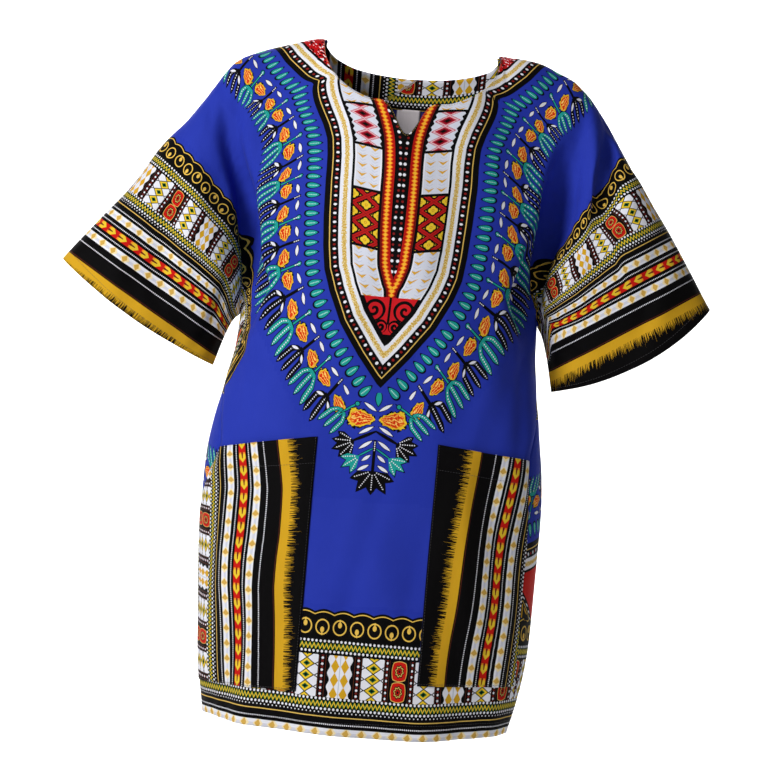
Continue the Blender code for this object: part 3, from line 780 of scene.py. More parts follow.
def print_height(points):
    """Height on the print. It carries on over the shoulders, where the cloth goes back as it rises."""
    return points[..., 2] + LIFT * np.clip(LIFT_FROM - np.abs(points[..., 1]), 0.0, None)


def ray_distances(across, height, rows):
    """Along and out from an outline, for arrays of places on the print."""
    keys = table(rows, OUTLINE_COLUMNS)
    line = traced(rows, OUTLINE_COLUMNS, 40 * (len(rows) - 1) + 1)
    angle = np.radians(line["angle"])
    ray = np.column_stack((np.cos(angle), np.sin(angle)))
    dx = across.reshape(-1, 1) - line["x"]
    dz = height.reshape(-1, 1) - line["z"]
    side = ray[:, 0] * dz - ray[:, 1] * dx
    out = ray[:, 0] * dx + ray[:, 1] * dz
    crossing = side[:, :-1] * side[:, 1:] <= 0.0
    near = np.where(crossing, np.abs(out[:, :-1]), np.inf)
    k = near.argmin(axis=1)
    found = np.isfinite(near.min(axis=1))
    rows_of = np.arange(len(k))
    a, b = side[rows_of, k], side[rows_of, k + 1]
    share = np.where(np.abs(a - b) > 1e-12, a / np.where(a == b, 1.0, a - b), 0.0)
    s = line["along"][k] + share * (line["along"][k + 1] - line["along"][k])
    n = out[rows_of, k] + share * (out[rows_of, k + 1] - out[rows_of, k])
    n = np.where(n > 0.0, n / line["reach"][k], n)
    inside = across.ravel() < np.interp(height.ravel(), keys["z"][::-1], keys["x"][::-1])
    n = np.where(found, n, np.where(inside, WELL_INSIDE, WELL_OUTSIDE))
    s = np.where(found, s, 0.0)
    return s.reshape(across.shape), n.reshape(across.shape)


# %% Print distances of the two panels
HEM_CUT = 0.0910  # the hem is cut inside the border, this far from the border's own edge
HEM_SCALE = 1.12  # the border is printed larger along the hem than along the cuffs
HEM_SHIFT = 0.060  # puts a tile with diamonds at the middle
FRINGE_TUCK = {"left": 0.012, "right": 0.0}  # cloth turned under at the cuff
NOWHERE = 0.5
PAST_BORDER = 0.060  # plain ground past the border that still counts as the sleeve's print
SLEEVE_PRINT_FROM = 0.5  # columns nearer the centre have none of it
HIPS_BELOW = -0.250
ARMPIT_PRINT_ENDS = -0.452
ARMPIT_SPAN = 0.030  # height over which the sleeve's print changes to the one beside the seam
BESIDE_COLUMNS = ("z", "x")
BESIDE = (
    (ARMPIT_PRINT_ENDS, 0.210),
    (-0.440, 0.196),
    (-0.422, 0.187),
    (-0.400, 0.178),
    (-0.381, 0.172),
    (-0.330, 0.169),
)


def beside_seam(points, over, face):
    """The sleeve's border carries on below the armpit, beside the side seam, as far as a curve.

    At the right of the front it is folded away behind the body.
    """
    curve = table(BESIDE, BESIDE_COLUMNS)
    from_seam = np.zeros(over.shape)
    reach = np.zeros(over.shape)
    for sign in (-1, 1):
        mine = np.where((np.sign(FINE_ACROSS) == sign) & ON_BODY)[0]
        seam = mine[0] if sign < 0 else mine[-1]
        from_seam[mine] = np.abs(over[mine] - over[seam])
        for j in range(points.shape[1]):
            limit = np.interp(points[seam, j, 2], curve["z"], curve["x"])
            width = np.abs(points[mine, j, 0])
            order = np.argsort(width)
            reach[mine, j] = np.interp(limit, width[order], from_seam[mine, j][order])
        if face == "front" and sign > 0:
            reach[mine] = 0.0
    return BORDER_DEPTH + from_seam - reach


def print_maps(face):
    """The border, ornament and flat maps of a panel, each a pair of distances at every point."""
    points = SHEET[face]
    down = run(points, 1)
    over = run(points, 0)
    over = over - over[MIDDLE]
    hem = (down[:, -1:] - down) / HEM_SCALE + HEM_CUT
    border = np.stack((over + HEM_SHIFT, hem), -1)
    cuff = np.full(points.shape[:2], NOWHERE)
    for side, sign in (("left", -1), ("right", 1)):
        mine = np.sign(FINE_ACROSS) == sign
        cuff[mine] = from_cuff(points[mine], side, face) + FRINGE_TUCK[side]
    high = np.zeros(points.shape[:2], bool)
    high[:, : FINE_ARMPIT + 1] = True
    z = np.nan_to_num(points[..., 2])
    below = ~high & (z > ARMPIT_PRINT_ENDS)
    share = np.clip((points[:, [FINE_ARMPIT], 2] - z) / ARMPIT_SPAN, 0.0, 1.0)
    beside = beside_seam(points, over, face)
    cuff = np.where(below, (1 - share) * cuff + share * beside, cuff)
    outer = np.abs(FINE_ACROSS)[:, None] > SLEEVE_PRINT_FROM
    sleeve = (high | below) & (cuff < BORDER_DEPTH + PAST_BORDER) & outer
    border[sleeve, 0] = down[sleeve]
    border[sleeve, 1] = cuff[sleeve]
    height = print_height(points)
    x = points[..., 0]
    if face == "front":
        centre = table(CENTRE_LINE, CENTRE_COLUMNS)
        x = x - np.interp(height, centre["z"], centre["x"])
    s, n = ray_distances(np.abs(x), height, OUTLINE[face])
    if face == "front":
        n = n + CORNER_DEPTH * np.exp(-np.abs(s - CORNER) / CORNER_SPAN) * np.clip(1 - n / 0.03, 0, 1)
    if face == "back":
        reach = np.abs(over)
        hip_s, hip_n = ray_distances(reach, points[..., 2], OUTLINE["hips"])
        low = np.nan_to_num(points[..., 2]) < HIPS_BELOW
        s, n = np.where(low, hip_s, s), np.where(low, hip_n, n)
    ornament = np.stack((s, n), -1)
    flat = np.stack((x if face == "front" else over, height), -1)
    return {"border": border, "ornament": ornament, "flat": flat}


MAPS = {face: print_maps(face) for face in SHEET}
for face, maps in MAPS.items():
    print(face, {name: np.round(np.nanmax(values, axis=(0, 1)), 3) for name, values in maps.items()})


# %% [markdown]
# ## Creases
#
# Cotton of this weight hangs in a few soft troughs and ridges, and it crumples where it is squeezed:
# at the armholes, at the bend of a sleeve and over the hem. Each crease is given as a line with a
# depth and a width at every point. A simulation would give creases in other places than the
# photographed dress has them.

# %% Creases, each given as a line
CREASE_COLUMNS = ("x", "z", "depth", "width")
CREASES = {
    "front": (
        ((-0.330, -0.215, 0.000, 0.010), (-0.318, -0.262, 0.003, 0.012), (-0.322, -0.320, 0.002, 0.013)),
        ((-0.232, -0.075, 0.002, 0.008), (-0.217, -0.134, 0.008, 0.010), (-0.196, -0.195, 0.014, 0.011),
         (-0.181, -0.250, 0.016, 0.010), (-0.177, -0.291, 0.012, 0.008), (-0.179, -0.334, 0.003, 0.007)),
        ((-0.183, -0.143, 0.000, 0.010), (-0.164, -0.217, -0.004, 0.011), (-0.155, -0.291, -0.004, 0.011),
         (-0.154, -0.367, -0.001, 0.012)),
        ((-0.254, -0.099, 0.000, 0.010), (-0.226, -0.166, -0.004, 0.010), (-0.206, -0.214, -0.004, 0.009),
         (-0.196, -0.251, 0.000, 0.009)),
        ((-0.247, -0.076, 0.000, 0.005), (-0.244, -0.111, 0.002, 0.005), (-0.244, -0.149, 0.000, 0.006)),
        ((-0.205, -0.300, 0.000, 0.006), (-0.212, -0.345, 0.004, 0.007), (-0.230, -0.385, 0.003, 0.008),
         (-0.248, -0.408, 0.001, 0.009)),
        ((-0.182, -0.369, 0.000, 0.008), (-0.181, -0.432, 0.003, 0.010), (-0.185, -0.495, 0.002, 0.012),
         (-0.186, -0.545, 0.000, 0.012)),
        ((-0.150, -0.230, 0.000, 0.010), (-0.142, -0.300, 0.002, 0.012), (-0.148, -0.400, 0.002, 0.014),
         (-0.158, -0.480, 0.000, 0.014)),
        ((-0.196, -0.355, 0.000, 0.007), (-0.180, -0.392, 0.003, 0.009), (-0.160, -0.430, 0.000, 0.012)),
        ((0.330, -0.205, 0.000, 0.010), (0.312, -0.262, 0.003, 0.012), (0.310, -0.330, 0.002, 0.012)),
        ((0.207, -0.082, 0.000, 0.010), (0.193, -0.126, 0.007, 0.011), (0.184, -0.172, 0.014, 0.012),
         (0.180, -0.220, 0.017, 0.011), (0.177, -0.260, 0.014, 0.009), (0.178, -0.304, 0.004, 0.007)),
        ((0.222, -0.095, 0.000, 0.012), (0.208, -0.141, 0.008, 0.013), (0.200, -0.182, 0.013, 0.013),
         (0.196, -0.223, 0.012, 0.012), (0.192, -0.258, 0.003, 0.010)),
        ((0.262, -0.080, 0.000, 0.030), (0.246, -0.130, 0.006, 0.032), (0.236, -0.180, 0.008, 0.032),
         (0.226, -0.225, 0.006, 0.028), (0.216, -0.265, 0.000, 0.022)),
        ((0.184, -0.110, 0.000, 0.008), (0.172, -0.149, -0.005, 0.008), (0.164, -0.194, -0.008, 0.008),
         (0.159, -0.239, -0.009, 0.008), (0.158, -0.289, -0.006, 0.007), (0.164, -0.351, -0.002, 0.009)),
        ((0.219, -0.039, 0.000, 0.008), (0.228, -0.082, -0.004, 0.008), (0.238, -0.132, -0.003, 0.009),
         (0.241, -0.176, 0.000, 0.009)),
        ((0.236, -0.038, 0.000, 0.006), (0.250, -0.081, 0.006, 0.007), (0.257, -0.130, 0.008, 0.007),
         (0.258, -0.168, 0.005, 0.006), (0.257, -0.199, 0.000, 0.006)),
        ((0.297, -0.152, 0.000, 0.008), (0.290, -0.184, 0.003, 0.008), (0.275, -0.222, 0.003, 0.008),
         (0.256, -0.262, 0.000, 0.009)),
        ((0.191, -0.259, 0.000, 0.005), (0.208, -0.281, 0.005, 0.005), (0.228, -0.296, 0.001, 0.006)),
        ((0.189, -0.286, 0.000, 0.005), (0.203, -0.306, 0.005, 0.005), (0.222, -0.326, 0.001, 0.006)),
        ((0.206, -0.344, 0.000, 0.006), (0.226, -0.364, 0.004, 0.006), (0.244, -0.378, 0.001, 0.008)),
        ((0.144, -0.341, 0.000, 0.012), (0.152, -0.403, 0.002, 0.012), (0.152, -0.465, 0.000, 0.014)),
        ((0.171, -0.338, 0.000, 0.007), (0.168, -0.401, 0.003, 0.008), (0.169, -0.464, 0.003, 0.008),
         (0.172, -0.526, 0.000, 0.010)),
        ((0.184, -0.345, 0.000, 0.007), (0.172, -0.380, 0.003, 0.009), (0.158, -0.420, 0.000, 0.012)),
        ((-0.052, -0.560, 0.000, 0.022), (-0.046, -0.660, 0.0015, 0.024), (-0.030, -0.780, 0.000, 0.026)),
        ((0.040, -0.600, 0.000, 0.022), (0.048, -0.720, 0.0020, 0.022), (0.052, -0.850, 0.003, 0.020)),
        ((-0.140, -0.520, 0.000, 0.012), (-0.128, -0.600, -0.003, 0.014), (-0.134, -0.690, -0.002, 0.014),
         (-0.128, -0.780, 0.000, 0.014)),
        ((-0.116, -0.530, 0.000, 0.010), (-0.112, -0.610, 0.003, 0.012), (-0.122, -0.720, 0.003, 0.012),
         (-0.120, -0.850, 0.003, 0.012)),
        ((0.140, -0.500, 0.000, 0.012), (0.152, -0.600, 0.003, 0.012), (0.150, -0.720, 0.003, 0.012),
         (0.156, -0.850, 0.004, 0.012)),
        ((-0.190, -0.760, 0.000, 0.010), (-0.182, -0.810, 0.003, 0.010), (-0.180, -0.850, 0.004, 0.010)),
    ),
    "back": (
        ((-0.320, -0.210, 0.000, 0.012), (-0.312, -0.270, 0.003, 0.013), (-0.316, -0.340, 0.002, 0.013)),
        ((0.318, -0.200, 0.000, 0.012), (0.306, -0.262, 0.003, 0.013), (0.306, -0.330, 0.002, 0.013)),
        ((-0.248, -0.160, 0.000, 0.008), (-0.240, -0.230, 0.004, 0.010), (-0.234, -0.300, 0.004, 0.010),
         (-0.240, -0.370, 0.001, 0.010)),
        ((0.242, -0.150, 0.000, 0.008), (0.234, -0.220, 0.004, 0.010), (0.226, -0.300, 0.004, 0.010),
         (0.232, -0.360, 0.001, 0.010)),
        ((-0.020, -0.110, 0.000, 0.020), (-0.014, -0.220, 0.002, 0.022), (-0.022, -0.360, 0.002, 0.024),
         (-0.030, -0.460, 0.000, 0.026)),
        ((0.090, -0.180, 0.000, 0.016), (0.082, -0.300, 0.003, 0.018), (0.070, -0.420, 0.003, 0.020),
         (0.072, -0.540, 0.000, 0.022)),
        ((-0.110, -0.200, 0.000, 0.016), (-0.100, -0.320, 0.003, 0.018), (-0.104, -0.440, 0.002, 0.020),
         (-0.112, -0.540, 0.000, 0.022)),
        ((0.150, -0.600, 0.000, 0.014), (0.156, -0.700, 0.003, 0.014), (0.162, -0.850, 0.004, 0.014)),
        ((-0.060, -0.660, 0.000, 0.018), (-0.056, -0.760, 0.003, 0.018), (-0.052, -0.850, 0.004, 0.018)),
        ((-0.170, -0.620, 0.000, 0.014), (-0.166, -0.740, 0.003, 0.014), (-0.168, -0.850, 0.004, 0.014)),
    ),
}
WAVES = (  # soft unevenness of hanging cloth: wavelengths across and down, height, start
    (0.094, 0.420, 0.0010, 0.4),
    (0.061, -0.310, 0.0007, 2.1),
    (0.140, 0.230, 0.0012, 4.0),
    (0.037, -0.190, 0.0003, 1.3),
)


def crease_depth(points, creases):
    """How far the creases and the soft waves push each point in."""
    x, z = np.nan_to_num(points[..., 0]), np.nan_to_num(points[..., 2])
    push = np.zeros(x.shape)
    for rows in creases:
        line = traced(rows, CREASE_COLUMNS, 10 * (len(rows) - 1) + 1)
        away = np.hypot(x[..., None] - line["x"], z[..., None] - line["z"])
        k = away.argmin(-1)
        push += line["depth"][k] * np.exp(-((away.min(-1) / line["width"][k]) ** 2))
    for across, down, height, start in WAVES:
        push += height * np.sin(2 * math.pi * (x / across + z / down) + start)
    return push


def outward(points, face):
    """Unit normals of a grid of points, pointing out of the dress."""
    filled = points.copy()
    for j in range(FINE_ARMPIT + 1, filled.shape[1]):
        filled[~ON_BODY, j] = filled[~ON_BODY, FINE_ARMPIT]
    along_rows = np.gradient(filled, axis=0)
    edge = FINE_ARMPIT
    down_columns = np.concatenate(
        (np.gradient(filled[:, : edge + 1], axis=1), np.gradient(filled[:, edge:], axis=1)[:, 1:]), axis=1
    )
    normal = np.cross(along_rows, -down_columns)
    normal /= np.linalg.norm(normal, axis=-1, keepdims=True) + 1e-12
    return normal if face == "front" else -normal


FADE_STEP = 0.34  # a crease comes in by this share with each point away from a seam
FADE = np.where(SEAM, 0.0, 1.0)
for _ in range(3):
    FADE[1:-1] = np.minimum(FADE[1:-1], np.minimum(FADE[:-2], FADE[2:]) + FADE_STEP)
    FADE[:, 1:-1] = np.minimum(FADE[:, 1:-1], np.minimum(FADE[:, :-2], FADE[:, 2:]) + FADE_STEP)
for face, points in SHEET.items():
    push = crease_depth(points, CREASES[face])
    points -= outward(points, face) * (push * FADE)[..., None]
    print(face, "deepest crease", round(float(np.abs(push).max()), 4))


# %% [markdown]
# ## Sheets
#
# A sheet starts as a flat grid, and its points are then moved to the worn form. Solidify gives it the
# thickness of cotton, on the inside, so that the outer skin stays where the form puts it.

# %% A sheet of cloth from a flat grid
COTTON = 0.0009


def sheet_mesh(name, points, maps, flip):
    """A mesh of square faces bent to an array of points. Faces with an empty point are left out."""
    columns, rows = points.shape[:2]
    bm = bmesh.new()
    bmesh.ops.create_grid(bm, x_segments=columns - 1, y_segments=rows - 1, size=0.5)
    empty = np.isnan(points[..., 0])

    def place(vert):
        return round((vert.co.x + 0.5) * (columns - 1)), round((0.5 - vert.co.y) * (rows - 1))

    gone = [v for v in bm.verts if empty[place(v)]]
    bmesh.ops.delete(bm, geom=gone, context="VERTS")
    if flip:
        bmesh.ops.reverse_faces(bm, faces=bm.faces)
    mesh = bpy.data.meshes.new(name)
    bm.to_mesh(mesh)
    bm.free()
    flat = np.empty(len(mesh.vertices) * 3)
    mesh.vertices.foreach_get("co", flat)
    flat = flat.reshape(-1, 3)
    i = np.rint((flat[:, 0] + 0.5) * (columns - 1)).astype(int)
    j = np.rint((0.5 - flat[:, 1]) * (rows - 1)).astype(int)
    mesh.vertices.foreach_set("co", points[i, j].ravel())
    corners = np.empty(len(mesh.loops), int)
    mesh.loops.foreach_get("vertex_index", corners)
    for layer, values in maps.items():
        uv = mesh.uv_layers.new(name=layer)
        uv.uv.foreach_set("vector", values[i, j][corners].astype(np.float32).ravel())
    mesh.shade_smooth()
    mesh.update()
    piece = bpy.data.objects.new(name, mesh)
    bpy.context.scene.collection.objects.link(piece)
    return piece, values_at_faces(mesh, maps, i, j, corners)


def values_at_faces(mesh, maps, i, j, corners):
    """Each map's mean at every face, to choose the face's material by."""
    starts = np.empty(len(mesh.polygons), int)
    mesh.polygons.foreach_get("loop_start", starts)
    return {
        layer: np.mean([values[i, j][corners[starts + k]] for k in range(4)], axis=0)
        for layer, values in maps.items()
    }


def give_thickness(piece, thickness, reverse):
    """A wall on the inner side of the sheet. Its inner skin and rim take the cloth's reverse."""
    solid = piece.modifiers.new("cloth thickness", "SOLIDIFY")
    solid.thickness = thickness
    solid.offset = -1.0
    solid.use_quality_normals = True
    solid.material_offset = reverse
    solid.material_offset_rim = reverse


# %% The two panels
PIECES = {}
FACES = {}


def take_place(piece, node):
    """The sheet rides on the part's one body and is seen in place of the node's plain solid."""
    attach(piece, "root")
    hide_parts(node)
    PIECES[node] = piece
    print(piece.name, len(piece.data.polygons), "faces")


for face in ("front", "back"):
    piece, FACES[face] = sheet_mesh(face + "_panel", SHEET[face], MAPS[face], flip=face == "back")
    take_place(piece, face)


# %% [markdown]
# ## Drawing with numbers
#
# The print is drawn by shader nodes. A small class wraps a node's socket, so that a motif is written
# as a sum on distances: "x * x + y * y < r * r" is a dot. Image textures would be quicker to place,
# but they lose their edges close up, and here every edge stays sharp at any distance.

# %% A socket that can be reckoned with
def math_node(operation, *numbers):
    """A method of Value that adds one Math node. These numbers follow the method's own values."""
    def method(self, *others):
        return self.math(operation, *others, *numbers)
    return method


class Value:
    """A number that varies over the cloth: the output socket of a node."""

    def __init__(self, maker, socket):
        self.maker = maker
        self.socket = socket

    def math(self, operation, *others):
        inputs = dict(enumerate((self,) + others))
        return self.maker.node("ShaderNodeMath", {"operation": operation}, inputs)

    def __rsub__(self, other):
        return self.maker.node("ShaderNodeMath", {"operation": "SUBTRACT"}, {0: other, 1: self})

    __add__ = __radd__ = math_node("ADD")
    __sub__ = math_node("SUBTRACT")
    __mul__ = __rmul__ = math_node("MULTIPLY")
    __truediv__ = math_node("DIVIDE")
    __neg__ = math_node("MULTIPLY", -1.0)
    __lt__ = math_node("LESS_THAN")
    __gt__ = math_node("GREATER_THAN")
    __abs__ = math_node("ABSOLUTE")
    least = math_node("MINIMUM")
    most = math_node("MAXIMUM")
    power = math_node("POWER")
    sine = math_node("SINE")
    root = math_node("SQRT")
    floor = math_node("FLOOR")
    angle = math_node("ARCTAN2")  # the direction of a point in radians, where this value is its y

    def within(self, low, high):
        """1 between two numbers and 0 elsewhere."""
        return self.math("COMPARE", (low + high) / 2, (high - low) / 2)

    def centred(self, every):
        """The distance from the nearest multiple, from minus half to plus half of it."""
        return self.math("WRAP", every / 2, -every / 2)

    def turn(self, every):
        """0 to every, over and over."""
        return self.math("WRAP", every, 0.0)

    def fold(self, every):
        """A zigzag that goes from -1 to 1 and back within this length."""
        return self.math("PINGPONG", every / 2) * (4 / every) - 1.0


def far(x, y):
    """Distance from the middle of a pair of local coordinates."""
    return (x * x + y * y).root()


# %% A material and its nodes
class Dye:
    """One printed material. Distances come in millimetres, from the piece's own maps."""

    def __init__(self, name):
        self.material = bpy.data.materials.new(name)
        self.material.use_nodes = True
        self.tree = self.material.node_tree
        self.tree.nodes.clear()

    def node(self, kind, settings, inputs, output=0):
        node = self.tree.nodes.new(kind)
        for key, value in settings.items():
            setattr(node, key, value)
        for key, value in inputs.items():
            if isinstance(value, Value):
                self.tree.links.new(value.socket, node.inputs[key])
            else:
                node.inputs[key].default_value = value
        return Value(self, node.outputs[output]) if node.outputs else None

    def place(self, layer):
        """The two distances of one of the piece's maps."""
        pair = self.node("ShaderNodeUVMap", {"uv_map": layer}, {})
        return [self.node("ShaderNodeSeparateXYZ", {}, {0: pair}, k) * 1000.0 for k in (0, 1)]

    def noise(self, x, y, detail=1.0):
        """Uneven values around 0.5 that change over about one unit of x and y."""
        at = self.node("ShaderNodeCombineXYZ", {}, {0: x, 1: y})
        settings = {"noise_dimensions": "2D"}
        return self.node("ShaderNodeTexNoise", settings, {"Vector": at, "Scale": 1.0, "Detail": detail})

    def curve(self, value, low, high, stops, scale):
        """A smooth curve through (value, result) stops."""
        share = (value - low) / (high - low)
        out = self.node("ShaderNodeFloatCurve", {}, {"Value": share})
        line = out.socket.node.mapping.curves[0]
        line.points[0].location = ((stops[0][0] - low) / (high - low), stops[0][1] / scale)
        line.points[1].location = ((stops[-1][0] - low) / (high - low), stops[-1][1] / scale)
        for at, result in stops[1:-1]:
            line.points.new((at - low) / (high - low), result / scale)
        out.socket.node.mapping.update()
        return out * scale

    def share(self, value, low, high):
        """0 below one value, 1 above another, and even between."""
        settings = {"data_type": "FLOAT", "clamp": True}
        return self.node("ShaderNodeMapRange", settings, {0: value, 1: low, 2: high, 3: 0.0, 4: 1.0})

    def paint(self, under, mask, colour):
        """A colour laid over another where the mask is 1."""
        return self.node("ShaderNodeMix", {"data_type": "RGBA"}, {0: mask, 6: under, 7: colour}, 2)

    def stack(self, colour, *inks):
        """Inks printed over each other in turn, each given as its mask and its colour."""
        for mask, laid in inks:
            colour = self.paint(colour, mask, laid)
        return colour


def ink(red, green, blue):
    """A printing ink from display values of 0 to 255."""
    def linear(c):
        c = c / 255
        return c / 12.92 if c <= 0.04045 else ((c + 0.055) / 1.055) ** 2.4
    return (linear(red), linear(green), linear(blue), 1.0)


BLUE = ink(38, 55, 168)
BLACK = ink(6, 5, 6)
WHITE = ink(232, 232, 240)
GOLD = ink(214, 164, 34)
YELLOW = ink(232, 196, 48)
ORANGE = ink(240, 146, 42)
RED = ink(200, 26, 18)
DARK_RED = ink(112, 28, 24)
BROWN = ink(84, 38, 22)
CLOTH_GREY = ink(214, 217, 230)
TEAL = ink(30, 156, 146)
PALE_TEAL = ink(168, 222, 214)
GREEN = ink(16, 92, 48)
LEAF_GOLD = ink(222, 184, 92)

# %% Cotton
# Plain-weave cotton is matt, with a faint sheen from loose fibres and threads about half a
# millimetre apart. The dye takes a little unevenly.
THREAD = 0.55  # millimetres


def finish_cloth(dye, colour, x, y, roughness):
    """Cotton's weave, sheen and unevenness over a printed colour."""
    patches = dye.noise(x / 70.0, y / 90.0, 3.0)
    slub = dye.noise(x / 0.8, y / 14.0, 1.0)
    shade = 0.90 + patches * 0.12 + slub * 0.08
    grey = dye.node("ShaderNodeCombineColor", {}, {0: shade, 1: shade, 2: shade})
    settings = {"data_type": "RGBA", "blend_type": "MULTIPLY"}
    colour = dye.node("ShaderNodeMix", settings, {0: 1.0, 6: colour, 7: grey}, 2)
    weave = (x * (math.tau / THREAD)).sine() * (y * (math.tau / THREAD)).sine()
    creased = dye.noise(x / 9.0, y / 12.0, 2.0)
    bump = dye.node(
        "ShaderNodeBump", {}, {"Strength": 0.35, "Distance": 0.0004, "Height": weave * 0.25 + creased}
    )
    shader = dye.node(
        "ShaderNodeBsdfPrincipled", {},
        {
            "Base Color": colour,
            "Roughness": roughness,
            "Metallic": 0.0,
            "Specular IOR Level": 0.07,
            "Sheen Weight": 0.02,
            "Sheen Roughness": 0.45,
            "Normal": bump,
        },
    )
    dye.node("ShaderNodeOutputMaterial", {}, {"Surface": shader})
    return dye.material


def printed_cotton(name, draw, *maps, roughness=0.74):
    """A cloth's material. The drawing gets the dye and the distances of the maps named for it."""
    dye = Dye(name)
    places = {layer: dye.place(layer) for layer in dict.fromkeys(maps + ("flat",))}
    distances = [distance for layer in maps for distance in places[layer]]
    return finish_cloth(dye, draw(dye, *distances), *places["flat"], roughness)


# %% [markdown]
# ## The border print
#
# The border is a stack of bands, counted from the cloth's own edge: a fringe of gold streaks, a gold
# band, thin dotted lines, two white bands with gold marks round a red one with yellow hearts, rows of
# dots and zigzags, a row of tiles, and rings under a scalloped line. It runs along the cuffs and the
# hem, and down the pockets, which are cut from it sideways.

# %% Small motifs
def dots(row, along, every, radius, start=0.0):
    x = (along - start).centred(every)
    return x * x + row * row < radius * radius


def zigzag(row, along, every, height, half):
    return abs(row - along.fold(every) * height) < half


def lozenge(x, y, width, height):
    """Grows from 0 in the middle of a diamond to 1 at its edge."""
    return abs(x) / width + abs(y) / height


def scroll(x, z, at, pitch, radius):
    """A line that winds out from a point. Returns the distance from its middle."""
    x, z = x - at[0], z - at[1]
    away = far(x, z)
    wound = (away / pitch - z.angle(x) / math.tau).centred(1.0)
    return abs(wound) * pitch + (away > radius) * 9.0


# %% The stack of bands
TILE = 36.0  # one tile and one bar
TILE_HALF = 22.5
TILE_MIDDLE = 154.5
MARK_EVERY = 18.6
RING_ROW = 206.5
RING_EVERY = 42.0  # a pair of rings
PALE_GOLD = ink(234, 192, 84)
SCALLOP_ROW = 219.5


def dotted_line(dye, colour, s, d, at):
    return dye.paint(colour, dots(d - at, s, 2.5, 0.82), WHITE)


def marked_band(dye, colour, s, d, at):
    """A white band with gold arrowheads in pale halos, and a grey streak between them."""
    row = d - at
    mark = s.centred(MARK_EVERY)
    band = abs(row) < 4.7
    halo = abs(row) < (mark * 0.9 + 6.0).least(7.0 - mark)
    head = abs(row) < (mark * 0.9 + 4.2).least(5.4 - mark * 1.6)
    return dye.stack(
        colour,
        (band, WHITE),
        ((abs(row + 0.6) < 1.6) * (abs(mark) > 4.6), ink(212, 212, 224)),
        (band * halo, ink(244, 226, 180)),
        (band * head, ink(214, 170, 78)),
    )


def heart_band(dye, colour, s, d, at):
    """A red band with yellow hearts that follow each other."""
    row = abs(d - at)
    heart = s.centred(MARK_EVERY)
    half = ((heart - 1.0).most(0.0) * -0.80 + 4.8).least(heart * 0.10 + 5.0)
    return dye.stack(
        colour,
        (row < 5.0, RED),
        ((row < 5.0) * (row - heart).within(4.0, 5.6), DARK_RED),
        ((row < half) * (heart > -7.0), ORANGE),
        ((row < half) * (heart > -4.6), YELLOW),
        ((row < 0.7 - heart * 0.10) * heart.within(-7.0, 1.2), DARK_RED),
    )


def zigzag_band(dye, colour, s, d, at):
    """A yellow zigzag on green between two rows of white dots."""
    row = d - at
    return dye.stack(
        colour,
        (zigzag(row, s + 1.2, 5.0, 2.5, 1.9), GREEN),
        (zigzag(row, s, 5.0, 2.5, 1.15), YELLOW),
        (dots(row - 5.5, s, 5.0, 1.45), WHITE),
        (dots(row + 5.5, s, 5.0, 1.45, 2.5), WHITE),
    )


def tiles(dye, colour, s, d):
    """Diamonds, scalloped ovals and red flower tiles, with dotted bars between them."""
    y = d - TILE_MIDDLE
    s = s + ((s - TILE * 3) * (math.tau / (TILE * 4))).sine() * 4.6
    x = s.centred(TILE)
    kind = (s / TILE + 0.5).floor().turn(4.0)
    diamond = lozenge(x, y.centred(12.2), 9.4, 6.1)
    tile = dye.stack(
        WHITE,
        ((abs(x) - abs(y.centred(12.2)) * 1.6).within(9.4, 11.4) * (abs(x) > 9.0), BLACK),
        (diamond < 1.12, BLACK),
        (diamond < 0.92, YELLOW),
        (diamond < 0.50, GREEN),
        (diamond < 0.26, BLACK),
    )
    oval = lozenge(abs(x) - 4.8, (y + 3.7).centred(14.8), 4.2, 8.2)
    edge = abs(x) - (y * (math.tau / 14.8)).sine() * 1.2
    scalloped = dye.stack(
        WHITE,
        (oval < 0.95, GOLD),
        (abs(x).within(0.0, 0.5) * (oval > 0.95), ink(196, 200, 212)),
        (edge > 11.0, BLACK),
    )
    tile = dye.paint(tile, kind.within(0.5, 1.5), scalloped)
    row = (y + 11.25).centred(22.5)
    away = far(x, row)
    square = abs(x).most(abs(row))
    petal = away + (row.angle(x) * 8.0).sine() * 0.7
    red = dye.stack(
        RED,
        ((away + square).within(20.6, 22.2), LEAF_GOLD),
        ((away + square) > 22.2, BLACK),
        (petal.within(3.0, 6.8), BLACK),
        (petal.within(4.3, 5.5), LEAF_GOLD),
        (away < 1.6, BLACK),
    )
    bar = (s + TILE / 2).centred(TILE)
    tile = dye.stack(
        tile,
        (kind.within(2.5, 3.5), red),
        (abs(bar) < 4.4, BLACK),
        (abs(bar).within(3.2, 3.9), BROWN),
        (dots(bar, y, 6.4, 1.35), WHITE),
        (dots(bar, y, 6.4, 1.45, 3.2), DARK_RED),
    )
    return dye.paint(colour, d.within(TILE_MIDDLE - TILE_HALF, TILE_MIDDLE + TILE_HALF), tile)


def rings(dye, colour, s, d):
    """Gold rings with a bud inside, which grows from above and from below by turns."""
    place = s.centred(RING_EVERY)
    x = abs(place) - RING_EVERY / 4
    y = (d - RING_ROW) * ((place > 0.0) * 2.0 - 1.0)
    line = far(x, y).within(6.9, 8.5).most(far(x * 1.3, y + 2.8) < 3.1)
    return dye.paint(colour, line.most((abs(x) < 0.8) * y.within(-8.8, -2.0)), PALE_GOLD)


